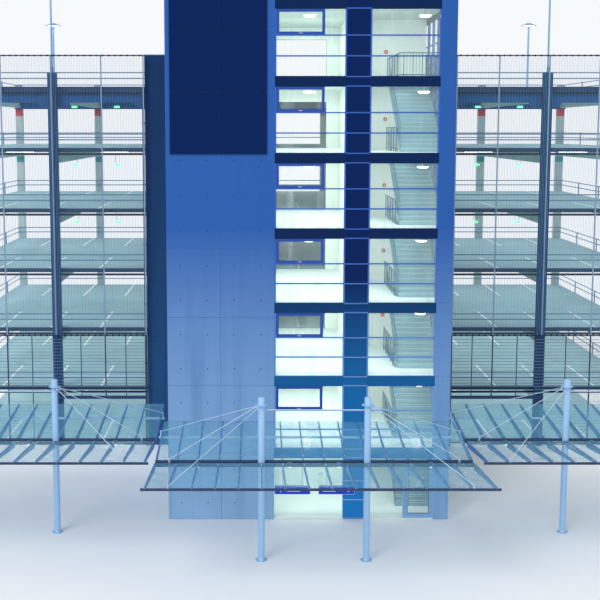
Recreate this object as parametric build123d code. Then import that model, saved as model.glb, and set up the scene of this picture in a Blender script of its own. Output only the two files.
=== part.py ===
from build123d import *
import math
import os

# Multi storey car park: a glazed stair and lift tower between two open parking wings,
# with three glass canopies on masts in front. Sizes are millimetres. X runs along the
# front, Y away from the street and Z up; the origin is the bottom centre of the whole.

# Levels
storey_height = 3000
upper_decks = 6
slab_thickness = 200
ground_slab = 60

# Parking wings
bay_width = 5000
first_line = 7130
wing_bays = 2
deck_span = 16000
column_size = 430
column_stub = 650
beam_width = 300
beam_depth = 550
edge_beam_depth = 830
edge_beam_width = 240
haunch_radius = 420
pier_width = 1880
pier_thickness = 300
pier_top = 19500

# Rails of the decks
rail_tube = 50
rail_low = 400
rail_high = 680
rail_post = 60

# Screens in front of the wings
screen_gap = 150
mesh_post = 60
mesh_pitch = 2445
mesh_first = 9690
mesh_top = 19500
mesh_bottom = 5700
mesh_tube = 60
cable_size = 10
cable_pitch = 600
rod_size = 22
luminaire_length = 1500
luminaire_width = 120
luminaire_height = 90
rod_pitch = 320
screen_post = 40
portal_height = 2450
portal_beam = 160

# Stair and lift tower
tower_half = 5730
tower_projection = 11500
parapet_height = 1300
wall_thickness = 300
core_edge = -1410
strip_left = 1410
strip_right = 2330
pier_left = 5100
frame_depth = 120
mullion_width = 60
side_post = 80
transom_height = 50
strip_frame = 20
glass_thickness = 24
spandrel_height = 420
first_transom = 800
second_transom = 1600
vent_width = 1900
vent_frame = 110
vent_depth = 90
doorway_half = 1300
doorway_height = 2250
side_bays = 8
panel_thickness = 60
panel_left = -5550
panel_right = -1720
panel_row = 2430
panel_joint = 30
panel_rows = 3
panel_below_top = 80

# Stair
stair_left = 3750
stair_right = 5450
stair_void_gap = 60
landing_depth = 1500
landing_lap = 100
going = 280
risers_per_flight = 17
tread_thickness = 36
riser_thickness = 8
stringer_depth = 260
stringer_width = 14
handrail_height = 900
handrail_tube = 44
baluster = 16
guard_height = 1000
guard_foot = 120
guard_post = 30
hall_depth = 7000
hall_wall = 200
divider_x = 1900
divider_start = 4500
hall_lamp = 300
hall_lamp_depth = 60

# Entrance
door_width = 1040
door_height = 2300
door_gap = 8
leaf_thickness = 50
stile_width = 90
door_post = 110
pull_length = 1100
pull_width = 36
pull_reach = 60
hinge_radius = 10
hinge_length = 50
hinge_plate = 8
hinge_forward = 12

# Canopies
canopy_ribs = 16
rib_pitch = 780
rib_width = 24
rib_root = 240
rib_tip = 90
front_reach = 4200
rear_reach = 4500
edge_tube = 90
valley_tube = 140
valley_level = 3700
edge_level = 4060
canopy_glass = 16
glass_joint = 8
pane_bays = 3
mast_width = 250
mast_height = 6200
mast_half = 1950
stay_level = 5900
stay_width = 24
lug_width = 16
lug_length = 60
spacer_width = 120
front_lug = 120
valley_lug = 170
rear_lug = 240
crown_width = 460
crown_thickness = 20
crown_lug = 120
base_width = 420
base_thickness = 25
purlin_share = 0.69
tube_overrun = 120
front_stay_ribs = 1
side_offset = 12000
side_ahead = 1500
sign_width = 1320
sign_height = 330
sign_drop = 700
sign_gap = 300
sign_thickness = 60

# Roof lamps and masts
roof_mast_width = 90
roof_mast_height = 4500
lamp_height = 4200
lamp_pole = 110
lamp_hood = 900
lamp_hood_height = 180
lamp_sides = 12

# Derived places
pier_inner = tower_half
pier_outer = tower_half + pier_width
mesh_edge = pier_outer + mesh_post / 2
door_right = pier_left - mullion_width - door_gap
door_left = door_right - door_width
door_head = ground_slab + door_height + door_gap
deck_half = first_line + wing_bays * bay_width + column_size / 2
centre_ahead = rear_reach
front_limit = centre_ahead + front_reach + edge_tube / 2
rear_limit = tower_projection + deck_span + column_size
face_y = front_limit - (front_limit + rear_limit) / 2
facade_y = face_y + tower_projection
deck_back = facade_y + deck_span
levels = [storey_height * k for k in range(1, upper_decks + 1)]
roof_level = levels[-1]
tower_roof_level = roof_level + storey_height
tower_top = tower_roof_level + parapet_height
floor_levels = [ground_slab] + levels
column_lines = [first_line + bay_width * k for k in range(wing_bays + 1)]
screen_y = facade_y - column_size - screen_gap
hinge_axis = (door_right + door_gap / 2, face_y - hinge_forward)
flight_run = going * (risers_per_flight - 1)
flight_start = face_y + landing_depth
flight_end = flight_start + flight_run
canopy_places = [(-side_offset, side_ahead), (0, centre_ahead), (side_offset, side_ahead)]
landing_edge = flight_start + landing_lap
void_edge = stair_left - stair_void_gap
side_outer = tower_half
side_frame = side_outer - frame_depth
side_inner = side_frame - side_post


def block(x_range, y_range, z_range):
    """A box between two limits on each axis."""
    spans = [sorted(r) for r in (x_range, y_range, z_range)]
    size = [b - a for a, b in spans]
    middle = [(a + b) / 2 for a, b in spans]
    return Pos(*middle) * Box(*size)


def bar(start, end, width, sides=8):
    """A straight bar with flat sides, its width measured across them."""
    path = Vector(*end) - Vector(*start)
    upright = abs(path.X) < 1e-6 and abs(path.Y) < 1e-6
    across = Vector(1, 0, 0) if upright else path.cross(Vector(0, 0, 1)).normalized()
    plane = Plane(origin=start, x_dir=across, z_dir=path.normalized())
    profile = RegularPolygon(width / 2, sides, major_radius=False, rotation=180 / sides)
    return extrude(plane * profile, path.length)


def prism_x(points, x_range):
    """A solid with an outline in Y and Z, between two limits on X."""
    low, high = sorted(x_range)
    outline = Plane.YZ.offset(low) * Polygon(*points, align=None)
    return extrude(outline, high - low, dir=(1, 0, 0))


def both_sides(make):
    """The solids that a function makes for the left side and the right side."""
    return [solid for side in (-1, 1) for solid in make(side)]


def save(name, solids):
    """Write one node's solids to its own file."""
    export_step(Compound(children=list(solids)), f"parts/{name}.step")


# Parking wings
def deck_slabs():
    """The ground floor, the parking decks and the roof deck of the wings."""
    limits = [(0, ground_slab)] + [(z - slab_thickness, z) for z in levels]
    return [block((-deck_half, deck_half), (facade_y, deck_back), limit) for limit in limits]


def column(x, y_range):
    """One full height column that ends in a stub over the roof deck."""
    half = column_size / 2
    return block((x - half, x + half), y_range, (0, roof_level + column_stub))


def front_columns():
    """The columns that stand before the deck edges."""
    y_range = (facade_y - column_size, facade_y)
    return both_sides(lambda side: [column(side * x, y_range) for x in column_lines[1:]])


def rear_columns():
    """The row at the back, which also runs behind the tower."""
    lines = [first_line - bay_width] + column_lines
    y_range = (deck_back, deck_back + column_size)
    return both_sides(lambda side: [column(side * x, y_range) for x in lines])


def downstand_beams():
    """The beams below each deck, one to each column line."""
    right = [first_line - bay_width] + column_lines
    half = beam_width / 2
    beams = []
    for z in levels:
        inset = edge_beam_width if z == roof_level else 0
        y_range = (facade_y + inset, deck_back - inset)
        z_range = (z - slab_thickness - beam_depth, z - slab_thickness)
        beams += [block((x - half, x + half), y_range, z_range) for x in right + [-x for x in right]]
    return beams


def haunched_beam(x_range, z_top, y_range):
    """A roof edge beam, deeper at both ends with a rounded change of depth."""
    left, right = x_range
    low = z_top - edge_beam_depth
    shallow = low + haunch_radius * 0.6
    r = haunch_radius
    with BuildPart() as beam:
        with BuildSketch(Plane(origin=(0, y_range[0], 0), x_dir=(1, 0, 0), z_dir=(0, -1, 0))):
            with BuildLine():
                Polyline((left + r / 2, low), (left, low), (left, z_top), (right, z_top),
                         (right, low), (right - r / 2, low))
                RadiusArc((left + r / 2, low), (left + r * 1.4, shallow), -r)
                Line((left + r * 1.4, shallow), (right - r * 1.4, shallow))
                RadiusArc((right - r * 1.4, shallow), (right - r / 2, low), -r)
            make_face()
        extrude(amount=y_range[0] - y_range[1])
    return beam.part


def bay_spans():
    """The clear X limits of each front bay of the right wing."""
    half = column_size / 2
    first = (pier_outer, column_lines[1] - half)
    rest = [(a + half, b - half) for a, b in zip(column_lines[1:], column_lines[2:])]
    return [first] + rest


def mirrored(span, side):
    """A span of the right wing, taken to one side."""
    return tuple(sorted((side * span[0], side * span[1])))


def roof_edge_beams():
    """The haunched beams below the front edge of the roof deck, and a plain one at the back."""
    top = roof_level - slab_thickness
    front = (facade_y, facade_y + edge_beam_width)
    back = block((-deck_half, deck_half), (deck_back - edge_beam_width, deck_back),
                 (roof_level - edge_beam_depth, top))
    beams = both_sides(lambda side: [haunched_beam(mirrored(s, side), top, front) for s in bay_spans()])
    return beams + [back]


def pier_walls():
    """The tall concrete walls that join the wings to the tower."""
    y_range = (facade_y - pier_thickness, facade_y)
    return both_sides(lambda side: [block((side * pier_inner, side * pier_outer), y_range,
                                          (0, pier_top))])


def rail_pair(start, end, level):
    """The two tubes of one rail above a deck level."""
    return [bar((*start, level + h), (*end, level + h), rail_tube, 6)
            for h in (rail_low, rail_high)]


def front_rails():
    """The rails along the front edge of each wing, behind the columns."""
    y = facade_y + rail_tube / 2
    return both_sides(lambda side: [tube for z in levels
                                    for tube in rail_pair((side * pier_inner, y), (side * deck_half, y), z)])


def rear_rails():
    """The rails along the back edge, before the columns."""
    y = deck_back - rail_tube / 2
    return [tube for z in levels for tube in rail_pair((-deck_half, y), (deck_half, y), z)]


def side_rails():
    """The rails along both ends of the wings, between the front and the rear ones."""
    y_ends = (facade_y + rail_tube, deck_back - rail_tube)

    def rails(side):
        x = side * (deck_half - rail_tube / 2)
        return [tube for z in levels for tube in rail_pair((x, y_ends[0]), (x, y_ends[1]), z)]
    return both_sides(rails)


def rail_posts():
    """The posts inside the rails of both ends."""
    half = rail_post / 2
    places = [facade_y + deck_span * k / 4 for k in (1, 2, 3)]
    inner = deck_half - rail_tube

    def posts(side):
        return [block((side * inner, side * (inner - rail_post)), (y - half, y + half),
                      (z, z + rail_high + rail_tube)) for z in levels for y in places]
    return both_sides(posts)


def mesh_lines():
    """The X places of the screen posts of the right wing."""
    return [mesh_edge] + [mesh_first + mesh_pitch * k for k in range(4)]


def mesh_posts():
    """The tall posts that carry the screens; the second stands on the portal beam."""
    half = mesh_post / 2

    def posts(side):
        feet = [portal_height + portal_beam if k == 1 else 0 for k in range(5)]
        return [block((side * x - half, side * x + half), (screen_y - half, screen_y + half),
                      (foot, mesh_top)) for x, foot in zip(mesh_lines(), feet)]
    return both_sides(posts)


def mesh_brackets():
    """The arms that tie the screen posts to the deck edges, the piers and the columns."""
    half = mesh_post / 2
    starts = [facade_y - pier_thickness, facade_y, facade_y - column_size, facade_y,
              facade_y - column_size]

    def arms(side):
        return [block((side * x - half / 2, side * x + half / 2), (screen_y + half, start),
                      (z - slab_thickness, z - slab_thickness / 2))
                for z in levels[1::2] for x, start in zip(mesh_lines(), starts)]
    return both_sides(arms)


def mesh_tubes():
    """The top tube and the lower tube that hold the cables."""
    left, right = mesh_lines()[0] - mesh_post / 2, mesh_lines()[-1] + mesh_post / 2
    y = screen_y - mesh_post / 2 - mesh_tube / 2
    heights = (mesh_bottom, mesh_top - mesh_tube / 2)
    return both_sides(lambda side: [bar((side * left, y, z), (side * right, y, z), mesh_tube)
                                    for z in heights])


def mesh_cables(side):
    """The upright cables of one wing, between the two tubes."""
    y = screen_y - mesh_post / 2 - mesh_tube / 2
    z_range = (mesh_bottom + mesh_tube / 2, mesh_top - mesh_tube)
    left, right = mesh_lines()[0], mesh_lines()[-1]
    count = int((right - left) / cable_pitch)
    half = cable_size / 2
    places = [left + cable_pitch * (k + 0.5) for k in range(count)]
    return [block((side * x - half, side * x + half), (y - half, y + half), z_range) for x in places]


def rod_screens(side):
    """The level rods before the lowest parking levels of one wing."""
    y = screen_y - mesh_post / 2 - rod_size / 2
    inner, middle, outer = mesh_lines()[0], mesh_lines()[2], mesh_lines()[-1]
    base = portal_height + portal_beam
    upper_count = int((mesh_bottom - mesh_tube - base) / rod_pitch)
    lower_count = int((base - ground_slab) / rod_pitch)
    upper = [(inner, outer, base + rod_pitch * (k + 0.5)) for k in range(upper_count)]
    lower = [(middle, outer, ground_slab + rod_pitch * (k + 0.5)) for k in range(lower_count)]
    return [bar((side * a, y, z), (side * b, y, z), rod_size, 4) for a, b, z in upper + lower]


def screen_posts():
    """The light posts between the main ones that hold the rods."""
    half = screen_post / 2
    lines = mesh_lines()
    top = mesh_bottom - mesh_tube / 2
    y_range = (screen_y - mesh_post / 2, screen_y + half)

    def posts(side):
        places = [(a + b) / 2 for a, b in zip(lines, lines[1:])]
        feet = [portal_height + portal_beam if x < lines[2] else 0 for x in places]
        return [block((side * x - half, side * x + half), y_range, (foot, top))
                for x, foot in zip(places, feet)]
    return both_sides(posts)


def portal_beams():
    """The beams over the driveways in the inner bays."""
    half = mesh_post / 2
    left, right = mesh_lines()[0] + half, mesh_lines()[2] - half
    return both_sides(lambda side: [block((side * left, side * right), (screen_y - half, screen_y + half),
                                          (portal_height, portal_height + portal_beam))])


def deck_luminaires():
    """The long lamps below the decks of the wings, between the beams."""
    right = [first_line + bay_width * (k + 0.5) for k in range(wing_bays)]
    places = right + [-x for x in right]
    rows = [facade_y + deck_span * share for share in (0.25, 0.75)]
    half_length, half_width = luminaire_length / 2, luminaire_width / 2
    tops = [z - slab_thickness for z in levels]
    return [block((x - half_length, x + half_length), (y - half_width, y + half_width),
                  (top - luminaire_height, top)) for top in tops for x in places for y in rows]


def lamp_places():
    """The feet of the roof lamps, near the back of the roof deck."""
    y = deck_back - bay_width / 4
    return [(side * x, y) for side in (-1, 1)
            for x in (column_lines[0], column_lines[-1] - bay_width / 2)]


def roof_poles():
    """The thin masts on the front columns, and the poles of the roof lamps."""
    z = roof_level + column_stub
    y = facade_y - column_size / 2
    masts = both_sides(lambda side: [bar((side * x, y, z), (side * x, y, z + roof_mast_height),
                                         roof_mast_width) for x in column_lines[1:]])
    return masts + [bar((x, y, roof_level), (x, y, roof_level + lamp_height), lamp_pole)
                    for x, y in lamp_places()]


def roof_lamps():
    """The tapered round hoods on the poles, with flat sides."""
    z = roof_level + lamp_height
    inset = (lamp_hood / 2 - lamp_pole) * math.cos(math.pi / lamp_sides)
    taper = math.degrees(math.atan2(inset, lamp_hood_height))
    foot = RegularPolygon(lamp_hood / 2, lamp_sides)
    return [extrude(Plane((x, y, z)) * foot, lamp_hood_height, taper=taper) for x, y in lamp_places()]


# Tower walls and glazing
def tower_wall(x_range, y_range, top=tower_top):
    """A full height wall of the tower; y is measured from its front."""
    return block(x_range, (face_y + y_range[0], face_y + y_range[1]), (0, top))


def core_front():
    """The blank concrete wall before the lifts."""
    return [tower_wall((-tower_half, core_edge), (0, wall_thickness))]


def inner_walls():
    """The side walls of the lift core, and the wall behind the stair in every storey."""
    y_range = (wall_thickness, tower_projection - wall_thickness)
    core = [tower_wall((-tower_half, wall_thickness - tower_half), y_range),
            tower_wall((core_edge - wall_thickness, core_edge), y_range)]
    y_range = (face_y + hall_depth, face_y + hall_depth + hall_wall)
    return core + [block((divider_x + hall_wall, side_inner), y_range, clear) for clear in clear_heights()]


def clear_heights():
    """From each floor of the tower to the slab above it."""
    return [(base, top - slab_thickness) for base, top in zip(floor_levels, levels + [tower_roof_level])]


def dividing_walls():
    """The wall between the lobby and the stair hall in every storey."""
    y_range = (face_y + divider_start, facade_y - wall_thickness)
    return [block((divider_x, divider_x + hall_wall), y_range, clear) for clear in clear_heights()]


def hall_lamps():
    """The round ceiling lamps near the glazing, one to each bay and storey."""
    y = face_y + landing_depth * 0.7
    places = [(core_edge + strip_left) / 2, (stair_left + stair_right) / 2]
    return [bar((x, y, top - hall_lamp_depth), (x, y, top), hall_lamp, 12)
            for base, top in clear_heights() for x in places]


def back_walls():
    """The back wall of the tower on both sides of the doorways to the decks."""
    y_range = (tower_projection - wall_thickness, tower_projection)
    return [tower_wall((-tower_half, -doorway_half), y_range),
            tower_wall((doorway_half, tower_half), y_range)]


def back_lintels():
    """The pieces of the back wall over each doorway."""
    y_range = (face_y + tower_projection - wall_thickness, face_y + tower_projection)
    tops = levels + [tower_top]
    return [block((-doorway_half, doorway_half), y_range, (z + doorway_height, top))
            for z, top in zip(floor_levels, tops)]


def front_piers():
    """The upright strip between the two glazed bays and the pier at the right corner."""
    return [tower_wall((strip_left, strip_right), (panel_thickness, wall_thickness)),
            tower_wall((pier_left, tower_half), (0, wall_thickness))]


def strip_panels():
    """The glass panels on the upright strip, one to a storey."""
    gap = panel_joint / 2
    ends = floor_levels + [tower_roof_level, tower_top]
    return [block((strip_left, strip_right), (face_y, face_y + panel_thickness), (a + gap, b - gap))
            for a, b in zip(ends, ends[1:])]


def dark_panels():
    """The dark glass panels high on the blank wall, in two columns."""
    middle = (panel_left + panel_right) / 2
    gap = panel_joint / 2
    bottom = tower_top - panel_below_top - panel_row * panel_rows
    columns = [(panel_left, middle - gap), (middle + gap, panel_right)]
    return [block(c, (face_y - panel_thickness, face_y),
                  (bottom + panel_row * k + gap, bottom + panel_row * (k + 1) - gap))
            for c in columns for k in range(panel_rows)]


def storey_limits():
    """The floor and the underside of the spandrel above, for each glazed storey."""
    tops = [z - spandrel_height for z in levels] + [tower_roof_level - spandrel_height]
    return list(zip(floor_levels, tops))


def glazed_bays():
    """The X limits of the two glazed bays."""
    return [(core_edge, strip_left), (strip_right, pier_left)]


def spandrel_panels():
    """The panels before each floor edge; the top ones also form the parapet."""
    y_range = (face_y, face_y + frame_depth)
    tops = levels + [tower_top]
    bottoms = [top for base, top in storey_limits()]
    front = [block(bay, y_range, (a, b)) for a, b in zip(bottoms, tops) for bay in glazed_bays()]
    side = [block((side_inner, side_frame), side_span(), (a, b)) for a, b in zip(bottoms, tops)]
    return front + side


def side_span():
    """The Y limits of the glazed side wall."""
    return (face_y + wall_thickness, facade_y - wall_thickness)


def inner_bay(bay):
    """A bay between the faces of its two mullions."""
    return (bay[0] + mullion_width, bay[1] - mullion_width)


def front_mullions():
    """The upright frame members at both sides of each glazed bay, and the door post."""
    y_range = (face_y, face_y + frame_depth)
    solids = []
    for base, top in storey_limits():
        for left, right in glazed_bays():
            if base == ground_slab and left == core_edge:
                continue
            solids.append(block((left, left + mullion_width), y_range, (base, top)))
            solids.append(block((right - mullion_width, right), y_range, (base, top)))
    post = (door_left - door_gap - door_post, door_left - door_gap)
    solids.append(block(post, y_range, (ground_slab, storey_height - spandrel_height)))
    return solids


def side_mullions():
    """The upright members outside the glazed side wall."""
    low, high = side_span()
    step = (high - low - mullion_width) / side_bays
    return [block((side_frame, side_outer), (low + step * k, low + step * k + mullion_width),
                  (0, tower_top)) for k in range(side_bays + 1)]


def transoms():
    """The level frame members of the front and the side, with the door's head."""
    y_range = (face_y + 10, face_y + frame_depth - 10)
    solids = []
    for base, top in storey_limits():
        for z in (first_transom, second_transom):
            z_range = (base + z - transom_height, base + z)
            solids.append(block((side_inner + 10, side_frame - glass_thickness), side_span(), z_range))
            if base > ground_slab:
                solids += [block(inner_bay(bay), y_range, z_range) for bay in glazed_bays()]
    solids += strip_frames()
    left, right = inner_bay((strip_right, pier_left))
    head = (door_head, door_head + transom_height)
    post = (door_left - door_gap - door_post, door_left - door_gap)
    return solids + [block((left, post[0]), y_range, head), block((post[1], right), y_range, head)]


def strip_frames():
    """The level frame lines that carry on across the upright strip."""
    x_range = (strip_left - mullion_width / 2, strip_right + mullion_width / 2)
    lines = []
    for base, top in storey_limits():
        lines += [base + first_transom, base + second_transom, top + transom_height]
    lines += [z for z in levels]
    return [block(x_range, (face_y - strip_frame, face_y), (z - transom_height, z)) for z in lines]


def side_glass():
    """One sheet of glass to each storey of the side wall."""
    return [block((side_frame - glass_thickness, side_frame), side_span(), (base, top))
            for base, top in storey_limits()]


def glass_sheet(x_range, z_range):
    """One pane in the middle of the front frames."""
    y = face_y + frame_depth / 2
    return block(x_range, (y - glass_thickness / 2, y + glass_thickness / 2), z_range)


def front_glass():
    """The panes of the glazed bays."""
    panes = []
    for base, top in storey_limits()[1:]:
        for bay in glazed_bays():
            left, right = inner_bay(bay)
            rows = [(base, base + first_transom - transom_height),
                    (base + first_transom, base + second_transom - transom_height)]
            panes += [glass_sheet((left, right), row) for row in rows]
            upper = left + vent_width if bay[0] == core_edge else left
            panes.append(glass_sheet((upper, right), (base + second_transom, top)))
    left, right = inner_bay((strip_right, pier_left))
    post = (door_left - door_gap - door_post, door_left - door_gap)
    over_head = (door_head + transom_height, storey_height - spandrel_height)
    return panes + [glass_sheet((left, post[0]), (ground_slab, door_head)),
                    glass_sheet((left, post[0]), over_head),
                    glass_sheet((post[1], right), over_head)]


def vent_limits(base, top):
    """The outer limits of one vent window on X and Z."""
    left = core_edge + mullion_width
    return (left, left + vent_width), (base + second_transom, top)


def vent_y():
    """The Y limits of the vent window frames."""
    middle = face_y + frame_depth / 2
    return (middle - vent_depth / 2, middle + vent_depth / 2)


def vent_stiles():
    """The upright members of the vent window at the top left of each storey."""
    solids = []
    for base, top in storey_limits()[1:]:
        (left, right), z_range = vent_limits(base, top)
        solids.append(block((left, left + vent_frame), vent_y(), z_range))
        solids.append(block((right - vent_frame, right), vent_y(), z_range))
    return solids


def vent_rails():
    """The level members of the vent windows."""
    solids = []
    for base, top in storey_limits()[1:]:
        (left, right), (low, high) = vent_limits(base, top)
        x_range = (left + vent_frame, right - vent_frame)
        solids.append(block(x_range, vent_y(), (low, low + vent_frame)))
        solids.append(block(x_range, vent_y(), (high - vent_frame, high)))
    return solids


def vent_glass():
    """The panes of the vent windows."""
    left = core_edge + mullion_width + vent_frame
    return [glass_sheet((left, left + vent_width - 2 * vent_frame),
                        (base + second_transom + vent_frame, top - vent_frame))
            for base, top in storey_limits()[1:]]


# Floors of the tower
def lobby_floors():
    """The floors between the lift core and the stair."""
    back = facade_y - wall_thickness
    slabs = [block((core_edge, void_edge), (face_y + wall_thickness, back), (z - slab_thickness, z))
             for z in levels]
    ground = block((core_edge, side_inner), (face_y + wall_thickness, back), (0, ground_slab))
    return [ground] + slabs


def stair_landings():
    """The landings at the front and the back of the stair."""
    front = (face_y + wall_thickness, landing_edge)
    back = (flight_end, facade_y - wall_thickness)
    return [block((void_edge, side_inner), y_range, (z - slab_thickness, z))
            for z in levels for y_range in (front, back)]


def floor_edges():
    """The edge beams behind the spandrel panels, and the steps at the ground openings."""
    y_range = (face_y + frame_depth, face_y + wall_thickness)
    beams = [block(bay, y_range, (z - spandrel_height, z))
             for z in levels + [tower_roof_level] for bay in glazed_bays()]
    sills = [block(bay, (face_y, face_y + wall_thickness), (0, ground_slab)) for bay in glazed_bays()]
    return beams + sills


def tower_roof():
    """The roof slabs over the lift core and over the lobby."""
    z_range = (tower_roof_level - slab_thickness, tower_roof_level)
    y_range = (face_y + wall_thickness, facade_y - wall_thickness)
    return [block((wall_thickness - tower_half, core_edge - wall_thickness), y_range, z_range),
            block((core_edge, side_inner), y_range, z_range)]


# Stair
def flights():
    """The base and the top of each flight."""
    return list(zip(floor_levels, floor_levels[1:]))


def flight_rise(flight):
    """The height of one step of a flight."""
    return (flight[1] - flight[0]) / risers_per_flight


def stair_treads():
    """The treads of all flights, each its own piece between the stringers."""
    x_range = (stair_left + stringer_width, stair_right - stringer_width)
    treads = []
    for flight in flights():
        rise = flight_rise(flight)
        for k in range(1, risers_per_flight):
            front = flight_start + going * (k - 1)
            back = min(front + going + riser_thickness, flight_end)
            top = flight[0] + rise * k
            treads.append(block(x_range, (front, back), (top - tread_thickness, top)))
    return treads


def stair_risers():
    """The upright plates that close each step."""
    x_range = (stair_left + stringer_width, stair_right - stringer_width)
    plates = []
    for flight in flights():
        rise = flight_rise(flight)
        for k in range(1, risers_per_flight):
            front = flight_start + going * (k - 1)
            z_range = (flight[0] + rise * (k - 1), flight[0] + rise * k - tread_thickness)
            plates.append(block(x_range, (front, front + riser_thickness), z_range))
    return plates


def stair_stringers():
    """The sloping plates at both sides of each flight."""
    solids = []
    for flight in flights():
        base, top = flight
        rise = flight_rise(flight)
        foot = (stringer_depth - rise) * going / rise
        outline = [(flight_start, base), (flight_start + foot, base),
                   (flight_end, top - stringer_depth), (flight_end, top), (flight_start, base + rise)]
        solids.append(prism_x(outline, (stair_left, stair_left + stringer_width)))
        solids.append(prism_x(outline, (stair_right - stringer_width, stair_right)))
    return solids


def nosing_height(flight, y):
    """The height of the line along the step edges at a place on Y."""
    rise = flight_rise(flight)
    return flight[0] + rise + (y - flight_start) * rise / going


def rail_sides():
    """The X of the handrail on each side, in line with its bars."""
    return (stair_left - baluster / 2, stair_right + baluster / 2)


def stair_handrails():
    """The round rails over both stringers."""
    ends = (flight_start - going / 2, flight_end - going / 2)
    return [bar((x, ends[0], nosing_height(f, ends[0]) + handrail_height),
                (x, ends[1], nosing_height(f, ends[1]) + handrail_height), handrail_tube)
            for f in flights() for x in rail_sides()]


def stair_balusters():
    """The upright bars fixed to the stringers, closer on the left than on the right."""
    bars = []
    for f in flights():
        slope = flight_rise(f) / going
        drop = handrail_tube / 2 * (1 + slope ** 2) ** 0.5
        for k in range(0, risers_per_flight - 1, 2):
            y = flight_start + going * (k + 0.25)
            top = nosing_height(f, y) + handrail_height - drop
            bottom = nosing_height(f, y) - stringer_depth / 2
            sides = rail_sides() if k % 4 == 0 else rail_sides()[:1]
            bars += [block((x - baluster / 2, x + baluster / 2), (y, y + baluster), (bottom, top))
                     for x in sides]
    return bars


def guard_lines():
    """The start and end of each level guard, at every floor and before the top of the stair."""
    x = void_edge - handrail_tube / 2 - 1
    sides = [((x, landing_edge), (x, flight_end), z) for z in levels]
    y = landing_edge - handrail_tube / 2 - 1
    return sides + [((void_edge - handrail_tube, y), (side_inner, y), roof_level)]


def guard_rails():
    """The top and bottom tubes of the level guards."""
    return [bar((*start, z + h), (*end, z + h), handrail_tube)
            for start, end, z in guard_lines() for h in (guard_foot, guard_height)]


def guard_posts():
    """The posts of the level guards, on the side away from the stair."""
    posts = []
    half = guard_post / 2
    for (x0, y0), (x1, y1), z in guard_lines():
        for k in range(5):
            share = (k + 0.5) / 5
            x, y = x0 + (x1 - x0) * share, y0 + (y1 - y0) * share
            shift = -handrail_tube / 2 - half
            x, y = (x + shift, y) if x0 == x1 else (x, y + shift)
            posts.append(block((x - half, x + half), (y - half, y + half), (z, z + guard_height)))
    return posts


# Entrance
def door_leaf_y():
    """The Y limits of the door leaf, flush with the outer face."""
    return (face_y, face_y + leaf_thickness)


def door_stiles():
    """The two upright members of the door leaf."""
    z_range = (ground_slab + door_gap, ground_slab + door_height)
    return [block((door_left, door_left + stile_width), door_leaf_y(), z_range),
            block((door_right - stile_width, door_right), door_leaf_y(), z_range)]


def door_rails():
    """The top and bottom members of the door leaf."""
    x_range = (door_left + stile_width, door_right - stile_width)
    low = ground_slab + door_gap
    high = ground_slab + door_height
    return [block(x_range, door_leaf_y(), (low, low + 2 * stile_width)),
            block(x_range, door_leaf_y(), (high - stile_width, high))]


def door_glass():
    """The pane of the door leaf."""
    middle = face_y + leaf_thickness / 2
    y_range = (middle - glass_thickness / 2, middle + glass_thickness / 2)
    z_range = (ground_slab + door_gap + 2 * stile_width, ground_slab + door_height - stile_width)
    return [block((door_left + stile_width, door_right - stile_width), y_range, z_range)]


def door_pull():
    """The long upright pull bar on its two stand-offs."""
    x = door_left + stile_width / 2
    y = face_y - pull_reach
    low = ground_slab + (door_height - pull_length) / 2
    grip = bar((x, y, low), (x, y, low + pull_length), pull_width)
    legs = [bar((x, y, z), (x, face_y, z), pull_width * 0.6, 6)
            for z in (low + pull_width * 2, low + pull_length - pull_width * 2)]
    return [grip + legs[0] + legs[1]]


def hinge_leaf(z, inner, outer):
    """Half of a hinge: a knuckle on the axis and a plate on one face."""
    x, y = hinge_axis
    knuckle = bar((x, y, z), (x, y, z + hinge_length), hinge_radius * 2, 12)
    plate = block((inner, outer), (face_y - hinge_plate, face_y), (z, z + hinge_length))
    return knuckle + plate


def hinge_levels():
    """The heights of the two hinges."""
    return (ground_slab + door_height * 0.12, ground_slab + door_height * 0.82)


def frame_hinges():
    """The halves of the hinges on the frame."""
    inner = hinge_axis[0] + hinge_radius * 0.5
    return [hinge_leaf(z, inner, inner + stile_width / 2) for z in hinge_levels()]


def door_hinges():
    """The halves of the hinges on the door, just above the others."""
    inner = hinge_axis[0] - hinge_radius * 0.5
    return [hinge_leaf(z + hinge_length + 0.3, inner, inner - stile_width / 2) for z in hinge_levels()]


# Canopies
def rib_places(centre):
    """The X places of the ribs of one canopy."""
    return [centre + rib_pitch * (k - (canopy_ribs - 1) / 2) for k in range(canopy_ribs)]


def canopy_span(centre):
    """The X limits of the long tubes of one canopy."""
    places = rib_places(centre)
    return (places[0] - rib_width, places[-1] + rib_width)


def mast_places():
    """The X and Y of each mast, and the side on which its canopy reaches out."""
    return [(centre + side * mast_half, face_y - ahead, side, centre)
            for centre, ahead in canopy_places for side in (-1, 1)]


def canopy_masts():
    """The masts below and above the crown plates that hold the stays."""
    parts = []
    for x, y, side, centre in mast_places():
        parts.append(bar((x, y, base_thickness), (x, y, stay_level), mast_width, 12))
        parts.append(bar((x, y, stay_level + crown_thickness), (x, y, mast_height), mast_width, 12))
    return parts


def mast_plates():
    """The base plate and the crown plate of each mast."""
    plates = []
    for x, y, side, centre in mast_places():
        plates.append(bar((x, y, 0), (x, y, base_thickness), base_width, 12))
        plates.append(bar((x, y, stay_level), (x, y, stay_level + crown_thickness), crown_width, 12))
    return plates


def valley_tubes():
    """The two tubes of each valley, one on each side of the masts."""
    offset = (mast_width + valley_tube) / 2
    return [bar((a, face_y - ahead + s * offset, valley_level),
                (b, face_y - ahead + s * offset, valley_level), valley_tube)
            for centre, ahead in canopy_places for a, b in [canopy_span(centre)] for s in (-1, 1)]


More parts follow.
